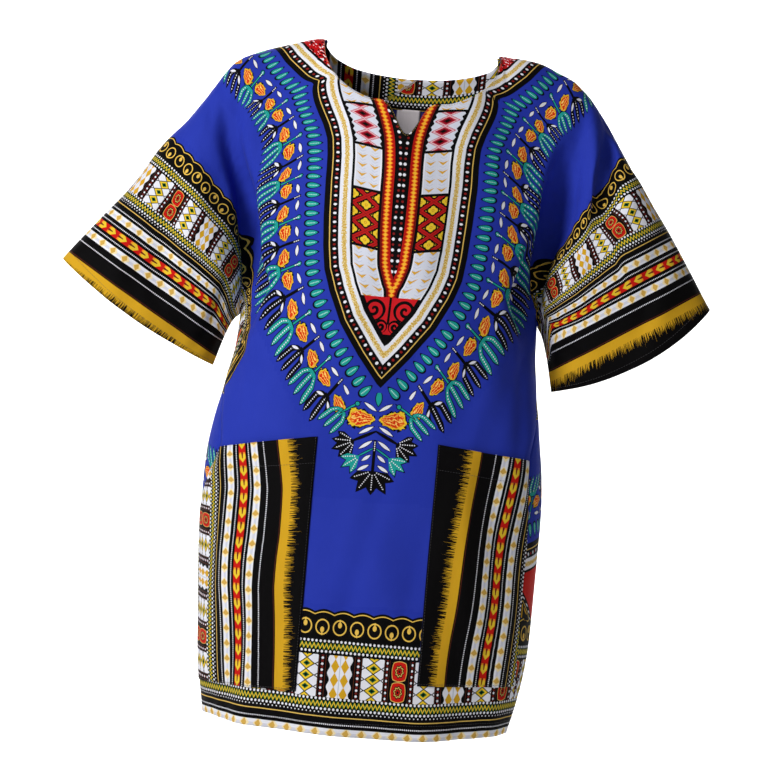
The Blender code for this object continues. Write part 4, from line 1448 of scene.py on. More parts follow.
def draw_border(dye, s, d):
    """The whole stack, from the cloth's edge inwards, ending in the plain ground."""
    streak = dye.noise(s / 0.75, d / 22.0, 1.0)
    fringe = (d + streak * 40.0 - 17.0).within(12.0, 44.0) * (d < 12.5)
    colour = dye.stack(BLACK, (fringe.most(d.within(12.0, 23.0)), GOLD), (d.within(24.3, 25.2), BROWN))
    for at in (43.5, 66.0, 84.5, 103.5):
        colour = dotted_line(dye, colour, s, d, at)
    colour = marked_band(dye, colour, s, d, 57.0)
    colour = heart_band(dye, colour, s, d, 75.3)
    colour = marked_band(dye, colour, s + 6.0, d, 94.5)
    colour = dye.paint(colour, d.within(110.8, 112.0), LEAF_GOLD)
    colour = dye.paint(colour, dots(d - 116.0, s, 5.0, 0.8), WHITE)
    colour = zigzag_band(dye, colour, s, d, 125.0)
    colour = tiles(dye, colour, s, d)
    colour = zigzag_band(dye, colour, s, d, 186.0)
    colour = rings(dye, colour, s, d)
    wave = abs((s * (math.pi / 23.7)).sine()) * 3.0
    colour = dye.paint(colour, (d - wave).within(SCALLOP_ROW - 0.6, SCALLOP_ROW + 0.6), PALE_GOLD)
    return dye.paint(colour, (d - wave) > SCALLOP_ROW + 3.0, BLUE)


# %% [markdown]
# ## The yoke and its garlands
#
# Going out from the yoke's outline come a row of teal leaves, a garland of flowers with white leaves
# on black stems, and claws of teal and black by turns. Going in come a black edge with a gold line, a
# row of white and dark-red dots and a white band with a mottled gold middle.

# %% The frame of the yoke
FRAME_END = -34.5


def draw_frame(dye, under, s, n):
    dot = far((s * 1.15).centred(14.0) / 1.15, (n + 13.4) * 0.8)
    mottle = dye.noise(s / 2.0, n / 1.5, 2.0)
    middle = abs(n + 24.8) - mottle * 4.6
    return dye.stack(
        under,
        (n.within(FRAME_END, 0.0), BLACK),
        (n.within(-8.2, -6.9), LEAF_GOLD),
        (dot < 1.7, WHITE),
        (dots(n + 13.4, s * 1.15, 14.0, 1.7, 7.0), ink(140, 26, 24)),
        (n.within(-31.5, -18.0), WHITE),
        (middle < 0.3, ink(232, 212, 150)),
        ((middle < -0.2) * (mottle > 0.47), ink(206, 164, 66)),
    )


# %% Leaves, flowers and stems
LEAF_EVERY = 12.44
STEM_EVERY = 28.0  # black and teal stems by turns
STEM_FIRST = 30.5
GARLAND_FROM = 15.0  # below this the spray takes over


def slim(dye, colour, x, y, at, turned, half_long, half_wide, fill, edge=1.1):
    """A narrow leaf at a place and angle, with a black edge."""
    c, sn = math.cos(math.radians(turned)), math.sin(math.radians(turned))
    along = (x - at[0]) * c + (y - at[1]) * sn
    across = (y - at[1]) * c - (x - at[0]) * sn
    size = abs(across) + along * along * (half_wide / half_long**2)
    colour = dye.paint(colour, size < half_wide + edge, BLACK)
    return dye.paint(colour, size < half_wide, fill)


def claw(dye, colour, across, out, fill, reach=31.0):
    """Three long rounded prongs with gaps between them, each with a row of dots."""
    spread = ((out + 2.6).most(0.0).root() * 3.0).least(out * 0.06 + 9.2)
    side = abs(abs(across) - spread)
    prong = side.least(abs(across))
    taper = (out - reach + 10.0).most(0.0)
    width = prong + taper * taper * 0.034
    inside = (out > -4.0) * (out < 40.0)
    dotted = dots(prong, out, 2.8, 0.72) * (out > 0.5) * (out < reach - 3.0)
    return dye.stack(
        colour,
        (inside * (width < 3.5), BLACK),
        (inside * (width < 2.6) * (out > -2.8), fill),
        (dotted, WHITE),
    )


def hand(dye, colour, x, y, towards, lobes, spread, reach, fill, width=0.34):
    """Long pointed lobes that spread from a hub, each with a dotted vein."""
    away = far(x, y)
    turn = y.angle(x) - math.radians(towards)
    out = away * (turn * turn * 0.35 + 1.0)
    step = math.radians(spread)
    lobe = (turn + step * ((lobes + 1) % 2) / 2).centred(step)
    reached = abs(turn) < step * lobes / 2
    body = abs(lobe) * away - ((reach - out) * width).least(out * 0.20 + 1.8)
    vein = dots(abs(lobe) * away, away, 2.8, 0.75) * (out < reach * 0.88) * (away > reach * 0.16)
    return dye.stack(
        colour,
        (reached * (body < 1.0) * (out < reach + 2.0), BLACK),
        (reached * (body < -0.1), fill),
        (reached * vein, WHITE),
    )


def flower(dye, colour, x, y, long, high):
    """A bell of yellow and flame red, from its point at x = 0 to its frilled mouth."""
    uneven = dye.noise(x / 4.4, y / 4.4, 2.0)
    across = y / (x * (high / long * 0.62) + high * 0.36)
    size = (((x - long * 0.52) * (2.0 / long)).power(2.0) + across * across) * (uneven * 1.1 + 0.45)
    inside = (x > 0.0) * (size < 1.26)
    streak = (y / (x + 4.0) * 9.0 + uneven * 3.4).centred(1.9)
    return dye.stack(
        colour,
        (inside, BLACK),
        (inside * (size < 0.98), YELLOW),
        (inside * (size < 0.72), ORANGE),
        (inside * (size < 0.60) * (abs(streak) < 0.16), ink(250, 214, 120)),
        (inside * (size < 0.66) * (abs(streak) > 0.46), ink(214, 46, 18)),
    )


def draw_leaves(dye, under, s, n):
    """The row of teardrop leaves that points at the yoke."""
    x = (s - 7.4).centred(LEAF_EVERY)
    y = n - 14.8
    size = (x * x) / (y * 0.20 + 4.3).power(2.0) + y * y / 100.0
    row = s > 0.5
    rib = (abs(x) < 0.6) * (abs(y - 0.5) < 5.5) * y.centred(1.9).within(-0.65, 0.65)
    return dye.stack(
        under,
        (row * (size < 1.0), BLACK),
        (row * (size < 0.60), TEAL),
        (row * rib, PALE_TEAL),
    )


def draw_garland(dye, s, n):
    """Black and teal stems with claws at their ends, and a pair of bells at every black one."""
    colour = draw_leaves(dye, BLUE, s, n)
    high = dye.share(s, 170.0, 300.0)
    spaced = s - (s - 300.0).most(0.0) * 0.20
    place = spaced - STEM_FIRST + (n - 31.0) * (high * 0.32 + 0.20)
    x = place.centred(STEM_EVERY)
    from_black = place.centred(STEM_EVERY * 2)
    teal = abs(from_black) > STEM_EVERY / 2
    row = s > GARLAND_FROM
    paint = dye.paint(BLACK, teal, TEAL)
    stem = (abs(x) < 1.7) * n.within(29.0, 60.0) * row
    bud = (far(x, n - 31.0) < 3.4) * teal * row
    inner = (abs(x) < 0.9) * n.within(30.0, 60.0) * row
    dotted = (abs(x) < 0.6) * n.within(29.5, 37.0) * n.centred(2.4).within(-0.8, 0.8)
    colour = dye.stack(
        colour,
        (stem.most(bud), BLACK),
        (inner.most(bud * (far(x, n - 31.0) < 2.4)), paint),
        (dotted * row, WHITE),
    )
    bent = place + (n - 58.0).most(0.0).power(1.3) * (high * 0.12 + 0.03)
    paint = dye.paint(BLACK, abs(bent.centred(STEM_EVERY * 2)) > STEM_EVERY / 2, TEAL)
    reach = 31.0 - dye.share(s, 210.0, 320.0) * 9.0
    colour = dye.paint(colour, row, claw(dye, colour, bent.centred(STEM_EVERY), n - 58.0, paint, reach))
    p = abs(from_black)
    for at, turned, long, wide in (((11.5, 33.0), 8.0, 6.4, 1.9), ((7.4, 61.0), 35.0, 4.8, 1.5)):
        colour = dye.paint(colour, row, slim(dye, colour, p, n, at, turned, long, wide, WHITE, 0.8))
    lean = n - 47.0 - p * 0.10 + from_black * 0.08
    return dye.paint(colour, s > 4.0, flower(dye, colour, p - 4.4, lean, 19.0, 9.8))


# %% [markdown]
# Under the tip of the yoke the garland's two ends meet in a spray, the same on both sides of a black
# stem: a pair of bells between two teal claws, slim white leaves, two black hands and two smaller teal
# ones, and a last black hand that hangs down.

# %% The spray under the tip
def draw_spray(dye, under, x, z):
    c = abs(x)
    colour = slim(dye, under, z, c, (-438.5, 0.0), 0.0, 9.6, 3.4, TEAL)
    out, across = (c - z - 502.0) * 0.707, (c + z + 414.5) * 0.707
    colour = claw(dye, colour, across, out, TEAL, 29.0)
    colour = slim(dye, colour, c, z, (33.5, -452.5), -33.0, 13.0, 1.1, TEAL, 0.8)
    bud = far(c - 25.0, z + 447.2)
    colour = dye.stack(colour, (bud < 3.4, BLACK), (bud < 2.4, TEAL))
    colour = slim(dye, colour, c, z, (14.0, -485.5), -26.0, 15.0, 1.0, BLACK)
    colour = hand(dye, colour, c - 25.0, z + 492.0, -24.0, 5, 25.0, 28.0, BLACK, 0.60)
    colour = slim(dye, colour, c, z, (10.5, -504.5), -31.0, 12.0, 0.9, TEAL, 0.8)
    colour = hand(dye, colour, c - 17.5, z + 509.5, -36.0, 3, 30.0, 25.0, TEAL, 0.5)
    colour = dye.paint(colour, (c < 1.9) * z.within(-530.0, -489.0), BLACK)
    dotted = (c < 0.6) * z.within(-502.0, -491.0) * z.centred(2.6).within(-0.8, 0.8)
    colour = dye.paint(colour, dotted, WHITE)
    colour = hand(dye, colour, -z - 526.0, c, 34.0, 3, 34.0, 31.0, BLACK, 0.60)
    for at, turned, half_long in (
        ((9.2, -449.6), 32.0, 9.0),
        ((12.0, -478.0), -29.0, 9.8),
        ((11.3, -495.5), -34.0, 9.4),
        ((9.2, -511.2), -37.0, 6.4),
        ((11.9, -523.0), -29.0, 7.6),
    ):
        colour = slim(dye, colour, c, z, at, turned, half_long, 1.9, WHITE, 0.8)
    return flower(dye, colour, c - 2.0, z + 464.2, 32.5, 14.5)


def garland_print(dye, s, n):
    return draw_frame(dye, draw_garland(dye, s, n), s, n)


def spray_print(dye, s, n, x, z):
    return draw_spray(dye, draw_garland(dye, s, n), x, z)


# %% [markdown]
# Inside the frame the yoke is a set of tiles between two orange strips, which run down from the neck's
# notch and meet over a small red shield.

# %% The tiles of the yoke
YOKE_DEPTH = 430.0
STRIP = ((-430, 0.0), (-313, 0.0), (-302, 4.0), (-290, 8.1), (-278, 11.3), (-259, 12.8), (-240, 14.2),
         (-190, 15.3), (-152, 15.6), (-127, 17.5), (-115, 20.0), (-102, 23.8), (-88, 28.9), (-69, 37.5),
         (-40, 52.0), (0, 70.0))
DOTS_AT = ((-430, 0.5), (-300, 1.5), (-270, 3.6), (-130, 4.3), (-112, 8.5), (-95, 18.0), (-75, 28.0),
           (0, 62.0))
TILE_EDGES = (-45.0, -86.0, -136.0, -189.5, -257.5, -318.0)
TILE_SLOPE = 0.16  # the tiles' edges run down towards the middle
SHIELD_TOP = -317.0


def ticks(dye, x, z):
    """Cloth with small gold ticks like birds, and faint grey ones between."""
    x = (x - 7.5).centred(15.0)
    tick = (z - 4.0).centred(11.0) - abs(x) * 0.62
    faint = z.centred(3.7) - abs(x) * 0.62
    colour = dye.paint(CLOTH_GREY, faint.within(-1.0, -0.2) * (abs(x) < 6.5), ink(194, 197, 214))
    body = abs(tick + 1.4) < 1.7 - abs(x) * 0.26
    return dye.paint(colour, body, ink(214, 164, 56))


def trellis(dye, x, z):
    """Yellow blossoms in a red trellis with black edges."""
    z = z + 208.0
    size = lozenge(x.centred(31.0), z.centred(21.0), 15.5, 10.5)
    inner = size < 1.0
    x = x.centred(31.0) * inner + (x + 15.5).centred(31.0) * (1.0 - inner)
    z = z.centred(21.0) * inner + (z + 10.5).centred(21.0) * (1.0 - inner)
    cell = size.least(2.0 - size)
    bits = dye.noise(x / 1.6, z / 1.6, 1.0)
    petals = far(abs(x) - 3.0, z).least(far(x, abs(z) - 2.6))
    return dye.stack(
        YELLOW,
        (bits > 0.46, BLACK),
        (cell > 0.56 + bits * 0.16, BLACK),
        (cell > 0.68 + bits * 0.16, ink(184, 26, 24)),
        (cell > 0.97, ink(120, 18, 18)),
        (petals < 4.4, BLACK),
        (petals < 2.8, YELLOW),
        (far(x, z).within(1.0, 1.7), ink(196, 140, 40)),
    )


def woven_diamonds(dye, x, z):
    """Pink diamonds with black hearts and ragged edges, as if woven from dyed yarn."""
    ragged = abs(x.fold(2.2)) * 1.1
    size = lozenge(x, (z + 111.0).centred(12.6) + ragged - 0.5, 13.0, 6.6)
    return dye.stack(
        CLOTH_GREY,
        (size < 1.10, ink(190, 34, 58)),
        (size.within(0.80, 0.96), ink(232, 206, 214)),
        (size < 0.56, ink(128, 14, 28)),
        (size < 0.34, BLACK),
    )


def flecks(dye, x, z):
    """Red cloth with white and black flecks."""
    x2 = x * 0.8 + z * 0.6
    z2 = z * 0.8 - x * 0.6
    size = dye.noise(x2 / 3.0, z2 / 6.5, 1.0)
    colour = dye.paint(ink(196, 18, 22), size > 0.63, WHITE)
    return dye.paint(colour, size < 0.38, BLACK)


def shield(dye, colour, x, z, n):
    """The red shield with black scrolls where the strips meet."""
    low = z < SHIELD_TOP
    c = abs(x)
    line = scroll(c, z, (19.0, -332.5), 8.4, 14.4).least(scroll(c, z, (8.8, -352.5), 5.8, 8.4))
    foot = -362.0 - z
    return dye.stack(
        colour,
        (low, ink(204, 26, 34)),
        (low * (line < 1.9), BLACK),
        (low * (c < 1.5) * (z > -350.0), BLACK),
        (low * (c * 0.9 + z + 311.0 > 0.0) * (c < 8.0), BLACK),
        (low * (foot > 0.0).most(n > FRAME_END - 3.0), BLACK),
        (low * (foot > 2.0) * n.within(FRAME_END - 7.5, FRAME_END - 6.3), RED),
    )


def draw_yoke(dye, x, z, n):
    column = abs(x)
    offset = column - dye.curve(z, -YOKE_DEPTH, 0.0, STRIP, 80.0)
    from_strip, from_frame = offset - 9.6, FRAME_END - n
    across = (from_strip - from_frame) * 0.5
    upright, z = z, z - (column - 42.0) * TILE_SLOPE
    beside = from_strip.least(from_frame)
    white = z.within(TILE_EDGES[3], TILE_EDGES[2]).most(z.within(TILE_EDGES[5], TILE_EDGES[4]))
    tooth = z.within(TILE_EDGES[2], TILE_EDGES[1]) * (beside < z.fold(7.5) * 1.3 + 1.3)
    colour = dye.stack(
        ticks(dye, across, z),
        (z.within(TILE_EDGES[2], TILE_EDGES[1]), woven_diamonds(dye, across, z)),
        (z.within(TILE_EDGES[4], TILE_EDGES[3]), trellis(dye, across, z)),
        (white * (beside < 1.6), WHITE),
        (tooth, BLACK),
        (z > TILE_EDGES[0], flecks(dye, x, z)),
    )
    for edge in TILE_EDGES:
        colour = dye.paint(colour, (z - edge).within(-1.6, 1.6), BLACK)
    z = upright
    above = z > SHIELD_TOP - 4.0
    edge = abs(offset) - z.fold(4.8) * 1.4
    inner = above * (offset < -6.3)
    beads = column - dye.curve(z, -YOKE_DEPTH, 0.0, DOTS_AT, 80.0)
    colour = dye.stack(
        colour,
        (above * (offset < 9.6), BLACK),
        (above * offset.within(-6.3, 6.3), ink(178, 22, 14)),
        (above * offset.within(3.9, 6.3), ink(112, 16, 12)),
        (above * (edge < 2.9), ink(232, 100, 22)),
        (above * (edge < 1.5), ink(246, 184, 50)),
        (inner * dots(beads, z, 13.0, 1.9), WHITE),
        (inner * dots(beads, z, 13.0, 1.5, 6.5), ink(132, 28, 26)),
    )
    return shield(dye, colour, x, z, n)


def yoke_print(dye, s, n, x, z):
    return draw_frame(dye, draw_yoke(dye, x, z, n), s, n)


def plain_print(dye, x, y):
    """The blue ground, which takes the dye a little unevenly."""
    return dye.paint(BLUE, dye.noise(x / 40.0, y / 55.0, 2.0) * 0.10, ink(70, 88, 205))


def reverse_side(dye):
    """The unprinted side, a dull dark blue where the ground's dye has come through."""
    return dye.paint(ink(34, 42, 110), 0.25, ink(60, 60, 84))


# %% [markdown]
# The back carries another ornament, from the hips down: a broad red ground under the same garland,
# with dark dotted triangles and gold curls.

# %% The hip ornament of the back
PEAK_EVERY = 150.0  # black triangles, with blooms between them


def draw_hips(dye, x, z):
    column = abs(x)
    peak = (column - 40.0).centred(PEAK_EVERY)
    side = abs(peak) * 0.6 + (z + 648.0)
    curl = abs(far(abs(peak) - 13.0, (z + 688.0).centred(26.0)) - 8.0)
    colour = dye.stack(
        RED,
        (side < 0.0, BLACK),
        (dots(side + 5.0, z, 6.0, 1.4), WHITE),
        (side.within(-11.0, -9.5), LEAF_GOLD),
        ((curl < 1.3) * (side < -14.0), GOLD),
        ((abs(peak) < 1.2) * (side < -14.0), GOLD),
    )
    between = (column + 35.0).centred(PEAK_EVERY)
    bloom = far(between, (z + 560.0).centred(64.0))
    for size, petal in ((17.0, BLACK), (14.5, YELLOW), (10.5, ORANGE), (5.0, RED)):
        colour = dye.paint(colour, (bloom < size) * (side > 6.0), petal)
    return colour


def hips_print(dye, s, n, x, z):
    return draw_frame(dye, draw_hips(dye, x, z), s, n)


def woven_tape(dye, x, y):
    """The label's tape: close crosswise ribs and a firmer edge."""
    rib = (y * (math.tau / 0.9)).sine()
    colour = dye.paint(ink(236, 228, 228), rib * 0.5 + 0.5, ink(214, 204, 208))
    return dye.paint(colour, abs(x) > 13.8, ink(190, 182, 188))


# %% The printed cloth on the panels
ON_YOKE = ("ornament", "flat")
CLOTH = {
    "plain": printed_cotton("plain_ground", plain_print, "flat"),
    "border": printed_cotton("border_print", draw_border, "border"),
    "garland": printed_cotton("garland_print", garland_print, "ornament"),
    "spray": printed_cotton("spray_print", spray_print, *ON_YOKE),
    "yoke": printed_cotton("yoke_print", yoke_print, *ON_YOKE),
    "hips": printed_cotton("hip_print", hips_print, *ON_YOKE),
    "label": printed_cotton("woven_label", woven_tape, "flat", roughness=0.6),
    "reverse": printed_cotton("cloth_reverse", reverse_side, roughness=0.85),
}
SLOTS = ("plain", "border", "garland", "yoke", "hips", "spray")
BLUE_FROM = 0.232  # the border's print has ended here, in the plain ground
SCALLOP_TOP = 0.2225  # its last line, where the hip ornament meets it
GARLAND_END = 0.094
FRAME_MIDDLE = -0.010
SPRAY = (0.074, -0.563, -0.434)  # half its width, and its bottom and top


def printed(piece, faces, inside):
    """Gives each face the part of the print that lies there, and the wall its reverse."""
    for name in SLOTS + ("reverse",) * len(SLOTS):
        piece.data.materials.append(CLOTH[name])
    d, n = faces["border"][:, 1], faces["ornament"][:, 1]
    kind = np.zeros(len(d), int)
    kind[n < GARLAND_END] = SLOTS.index("garland")
    kind[n < FRAME_MIDDLE] = SLOTS.index("yoke")
    if inside == "hips":
        low = (n < FRAME_MIDDLE) & (faces["flat"][:, 1] < HIPS_BELOW)
        kind[low] = SLOTS.index("hips")
    x, z = np.abs(faces["flat"][:, 0]), faces["flat"][:, 1]
    if inside == "yoke":
        kind[(x < SPRAY[0]) & (z > SPRAY[1]) & (z < SPRAY[2])] = SLOTS.index("spray")
    kind[d < np.where(kind == SLOTS.index("hips"), SCALLOP_TOP, BLUE_FROM)] = SLOTS.index("border")
    piece.data.polygons.foreach_set("material_index", kind)
    give_thickness(piece, COTTON, len(SLOTS))


printed(PIECES["front"], FACES["front"], "yoke")
printed(PIECES["back"], FACES["back"], "hips")
print("materials", [m.name for m in bpy.data.materials])

# %% [markdown]
# ## Pockets, facing and label
#
# The two patch pockets are cut from the border, sideways, so its bands run down them. Each is made
# from the front's own points, moved out. Its mouth stands a little off the dress, because nothing
# holds it there but the stitches at its ends.

# %% Two patch pockets
POCKET_CLOTH = 0.0007
POCKET_OFF = 0.0011
MOUTH_OPEN = 0.0030
MOUTH_DEPTH = 0.035
RIPPLE_COLUMNS = ("down", "shift")
# How far the bands lie from the pocket's centre edge, a row for each place from the bottom up.
BAND_SHIFT = {
    "pocket_left": ((0.00, 0.005), (0.20, 0.010), (0.40, 0.014), (0.60, 0.013), (0.80, 0.016), (1.00, 0.024)),
    "pocket_right": ((0.00, 0.013), (0.20, 0.014), (0.45, 0.018), (0.70, 0.024), (1.00, 0.031)),
}
RIPPLES = (  # a pocket's own soft folds: place across, half width, height, sideways drift
    (0.050, 0.010, 0.0022, 0.010),
    (0.085, 0.012, -0.0018, -0.012),
    (0.118, 0.010, 0.0016, 0.008),
)
POCKET_FROM = ARMPIT_ROW + POCKET_ROWS["top"]
POCKET_TO = ARMPIT_ROW + POCKET_ROWS["bottom"]
pocket_rows = np.where((DOWN_PLACES >= POCKET_FROM - 1e-6) & (DOWN_PLACES <= POCKET_TO + 1e-6))[0]
front_normals = outward(SHEET["front"], "front")
POCKET_POINTS = {}


def pocket(name, sign):
    """A patch on the front's points from a pocket's inner edge to the side seam."""
    across = FINE_ACROSS * sign
    columns = np.where((across >= POCKET_COLUMN - 1e-6) & (across <= 1.0 + 1e-6))[0]
    block = np.ix_(columns, pocket_rows)
    points, normal = SHEET["front"][block], front_normals[block]
    out_from_edge = run(points if sign > 0 else points[::-1], 0)
    edge = out_from_edge if sign > 0 else out_from_edge[::-1]
    down = run(points, 1)
    up = 1.0 - down / down[:, -1:]
    width = edge.max(axis=0)
    mouth = np.exp(-((down / MOUTH_DEPTH) ** 2)) * np.sin(math.pi * np.clip(edge / width, 0, 1)) ** 0.8
    lift = POCKET_OFF + MOUTH_OPEN * mouth
    for at, half, height, drift in RIPPLES:
        away = edge - at - drift * np.sin(3.0 * up + at * 40.0)
        lift = lift + height * np.exp(-((away / half) ** 2)) * np.sin(math.pi * np.clip(up, 0, 1)) ** 0.6
    lift = np.maximum(lift, POCKET_OFF)
    points = points + normal * lift[..., None]
    shift = table(BAND_SHIFT[name], RIPPLE_COLUMNS)
    d = edge - np.interp(up, shift["down"], shift["shift"])
    d = d + 0.0012 * np.sin(up * 11.0 + sign)
    maps = {
        "border": np.stack((down, d), -1),
        "flat": np.stack((edge, down), -1),
    }
    piece, _ = sheet_mesh(name + "_patch", points, maps, flip=False)
    for cloth in ("border", "reverse"):
        piece.data.materials.append(CLOTH[cloth])
    give_thickness(piece, POCKET_CLOTH, 1)
    take_place(piece, name)
    POCKET_POINTS[name] = points, normal
    print(name, "is", np.round(width.mean() / MM), "mm wide and", np.round(down.max() / MM), "mm deep")


pocket("pocket_left", -1)
pocket("pocket_right", 1)

# %% The facing strip inside the back neck
FACING_IN = 0.0013
FACING_CLOTH = 0.0006
FACING_CORNER = -0.040  # where its stripes turn from upright to level
FACING_ROW = 0.111
FACING_LONG = 0.042
back_normals = outward(SHEET["back"], "back")


def facing():
    """The back's own print, cut crosswise, so its stripes turn from upright to level at one corner."""
    columns = np.where(np.abs(FINE_ACROSS) <= NECK_COLUMN + 1e-6)[0]
    rows = np.where(run(SHEET["back"][MIDDLE], 0) <= FACING_LONG)[0]
    block = np.ix_(columns, rows)
    points = SHEET["back"][block] - back_normals[block] * FACING_IN
    across = points[..., 0]
    down = run(points, 1)
    up = down[:, -1:] - down
    beyond = across - FACING_CORNER
    d = FACING_ROW + np.minimum(up, beyond * 0.9)
    upright = beyond * 0.9 < up
    s = np.where(upright, up, across + 0.4)
    maps = {"border": np.stack((s, d), -1), "flat": np.stack((across, up), -1)}
    piece, _ = sheet_mesh("neck_facing_strip", points, maps, flip=False)
    for cloth in ("border", "reverse"):
        piece.data.materials.append(CLOTH[cloth])
    give_thickness(piece, -FACING_CLOTH, 1)
    take_place(piece, "neck_facing")


facing()

# %% The blank label
LABEL_HALF = 0.015
LABEL_LONG = 0.036
LABEL_IN = 0.0024
LABEL_TUCK = 0.002  # its top lies this far under the facing's edge
LABEL_THICK = 0.0005
LABEL_HANG = 0.0018  # its lower end stands this far off the back
LABEL_BOW = 0.0006


def label():
    """A woven tape, caught under the facing's lower edge. It bears nothing."""
    wide, long = 13, 15
    column = SHEET["back"][MIDDLE]
    inward = -back_normals[MIDDLE]
    length = run(column, 0) - FACING_LONG
    points = np.zeros((wide, long, 3))
    maps = np.zeros((wide, long, 2))
    for j in range(long):
        down = j / (long - 1)
        at = LABEL_LONG * down - LABEL_TUCK
        for k in range(3):
            points[:, j, k] = np.interp(at, length, column[:, k] + inward[:, k] * LABEL_IN)
        points[:, j, 0] = np.linspace(-LABEL_HALF, LABEL_HALF, wide)
        points[:, j, 1] -= LABEL_HANG * down**2
        points[:, j, 1] -= LABEL_BOW * np.cos(np.linspace(-1.5, 1.5, wide)) * down
        maps[:, j, 0] = points[:, j, 0]
        maps[:, j, 1] = at
    piece, _ = sheet_mesh("blank_label", points, {"flat": maps}, flip=False)
    piece.data.materials.append(CLOTH["label"])
    give_thickness(piece, -LABEL_THICK, 0)
    take_place(piece, "label")


label()

# %% [markdown]
# ## Stitching
#
# The pockets are sewn down along the centre edge and the bottom, and a row across the mouth holds its
# hem. Hem, cuffs and neck edge are turned in and stitched all round. Each stitch is a short thread
# that lies on the cloth: a bump in the material would be lost where the cloth is seen from the side.

# %% Rows of stitches
STITCH_EVERY = 0.0034
STITCH_LONG = 0.0026
THREAD_THICK = 0.00055
THREAD_RAISED = 0.25  # how far a thread's middle lies off the cloth, as a share of its thickness


def thread_material(name, colour):
    dye = Dye(name)
    at = dye.node("ShaderNodeTexCoord", {}, {}, 3)
    x, y, z = (dye.node("ShaderNodeSeparateXYZ", {}, {0: at}, k) * 1000.0 for k in range(3))
    ply = ((x + y + z) * (math.tau / 0.7)).sine()
    shade = dye.paint(colour, ply * 0.2 + 0.2, ink(120, 116, 112))
    bump = dye.node("ShaderNodeBump", {}, {"Strength": 0.5, "Distance": 0.0002, "Height": ply})
    looks = {"Base Color": shade, "Roughness": 0.6, "Metallic": 0.0, "Normal": bump}
    shader = dye.node("ShaderNodeBsdfPrincipled", {}, looks)
    dye.node("ShaderNodeOutputMaterial", {}, {"Surface": shader})
    return dye.material


THREADS = {
    "dark": thread_material("dark_thread", ink(20, 20, 34)),
    "gold": thread_material("gold_thread", ink(196, 160, 60)),
}


def stitches(name, rows, colour):
    """One thread piece for several rows, each an array of points and one of normals."""
    bm = bmesh.new()
    count = 0
    for points, normals in rows:
        length = arc_lengths(points)
        for at in np.arange(STITCH_EVERY / 2, length[-1], STITCH_EVERY):
            start, end = (
                Vector([np.interp(at + side * STITCH_LONG / 2, length, points[:, k]) for k in range(3)])
                for side in (-1, 1)
            )
            normal = Vector([np.interp(at, length, normals[:, k]) for k in range(3)]).normalized()
            way = (end - start).normalized()
            aside = way.cross(normal).normalized()
            centre = (start + end) / 2 + normal * THREAD_THICK * THREAD_RAISED
            shape = Matrix((aside * THREAD_THICK / 2, normal * THREAD_THICK / 2, way * STITCH_LONG / 2))
            matrix = Matrix.Translation(centre) @ shape.transposed().to_4x4()
            bmesh.ops.create_uvsphere(bm, u_segments=6, v_segments=4, radius=1.0, matrix=matrix)
            count += 1
    mesh = bpy.data.meshes.new(name)
    bm.to_mesh(mesh)
    bm.free()
    mesh.shade_smooth()
    mesh.materials.append(THREADS[colour])
    piece = bpy.data.objects.new(name, mesh)
    bpy.context.scene.collection.objects.link(piece)
    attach(piece, "root")
    print(name, count, "stitches")


def between(array, first, second, share):
    return array[first] * (1 - share) + array[second] * share


def down_column(points, normals, first, second, share):
    return between(points, first, second, share), between(normals, first, second, share)


def across_row(points, normals, first, second, share):
    return down_column(points.transpose(1, 0, 2), normals.transpose(1, 0, 2), first, second, share)


MOUTH_HEM_ROW = 7
for name, (points, normals) in POCKET_POINTS.items():
    edge, next_in = (0, 1) if name == "pocket_right" else (-1, -2)
    rows = (
        down_column(points, normals, edge, next_in, 0.6),
        across_row(points, normals, -1, -2, 0.6),
        across_row(points, normals, MOUTH_HEM_ROW, MOUTH_HEM_ROW + 1, 0.5),
    )
    stitches(name + "_stitches", rows, "dark")

NORMALS = {"front": front_normals, "back": back_normals}
CUFF_IN = 3
HEM_UP = 4
for face in ("front", "back"):
    points, normals = SHEET[face], NORMALS[face]
    upper = slice(0, FINE_ARMPIT + 1)
    neck = np.abs(FINE_ACROSS) <= NECK_COLUMN + 1e-6
    rows = (
        (points[CUFF_IN, upper], normals[CUFF_IN, upper]),
        (points[-1 - CUFF_IN, upper], normals[-1 - CUFF_IN, upper]),
        (points[ON_BODY, -1 - HEM_UP], normals[ON_BODY, -1 - HEM_UP]),
    )
    stitches(face + "_hem_stitches", rows, "dark")
    row = across_row(points[neck], normals[neck], 0, 1, 0.5)
    stitches(face + "_neck_stitches", (row,), "gold")


# %% [markdown]
# ## Cut sizes
#
# Each piece of cloth is listed with the size of its cut: the piece measured along the cloth, with
# its hems and turnings, and the ease that its folds take up. The panels run from cuff to cuff. Its
# cut area is printed beside the area of the modelled sheet.

# %% Sheets and their cuts
SHEETS = (  # node, width and length of the cut, its area, how it is held and what it rests on
    ("front", 1.10, 0.87, 0.535, "hung", ()),
    ("back", 1.10, 0.90, 0.590, "hung", ()),
    ("pocket_left", 0.235, 0.345, 0.072, "laid", ("front",)),
    ("pocket_right", 0.185, 0.335, 0.055, "laid", ("front",)),
    ("neck_facing", 0.300, 0.052, 0.0145, "laid", ("back",)),
    ("label", 0.030, 0.038, 0.0011, "hung", ("neck_facing",)),
)


def cloth_area(piece):
    """The area of a sheet before it was given its thickness."""
    return sum(face.area for face in piece.data.polygons)


for name, wide, long, area, held, rests_on in SHEETS:
    piece = PIECES[name]
    print(name, "cut", area, "m2, cloth", round(cloth_area(piece), 4), "m2")


# %% [markdown]
# ## The studio
#
# A pale floor that curves up into a pale wall, a big soft light from the upper left and light from all
# round, as the photograph has.

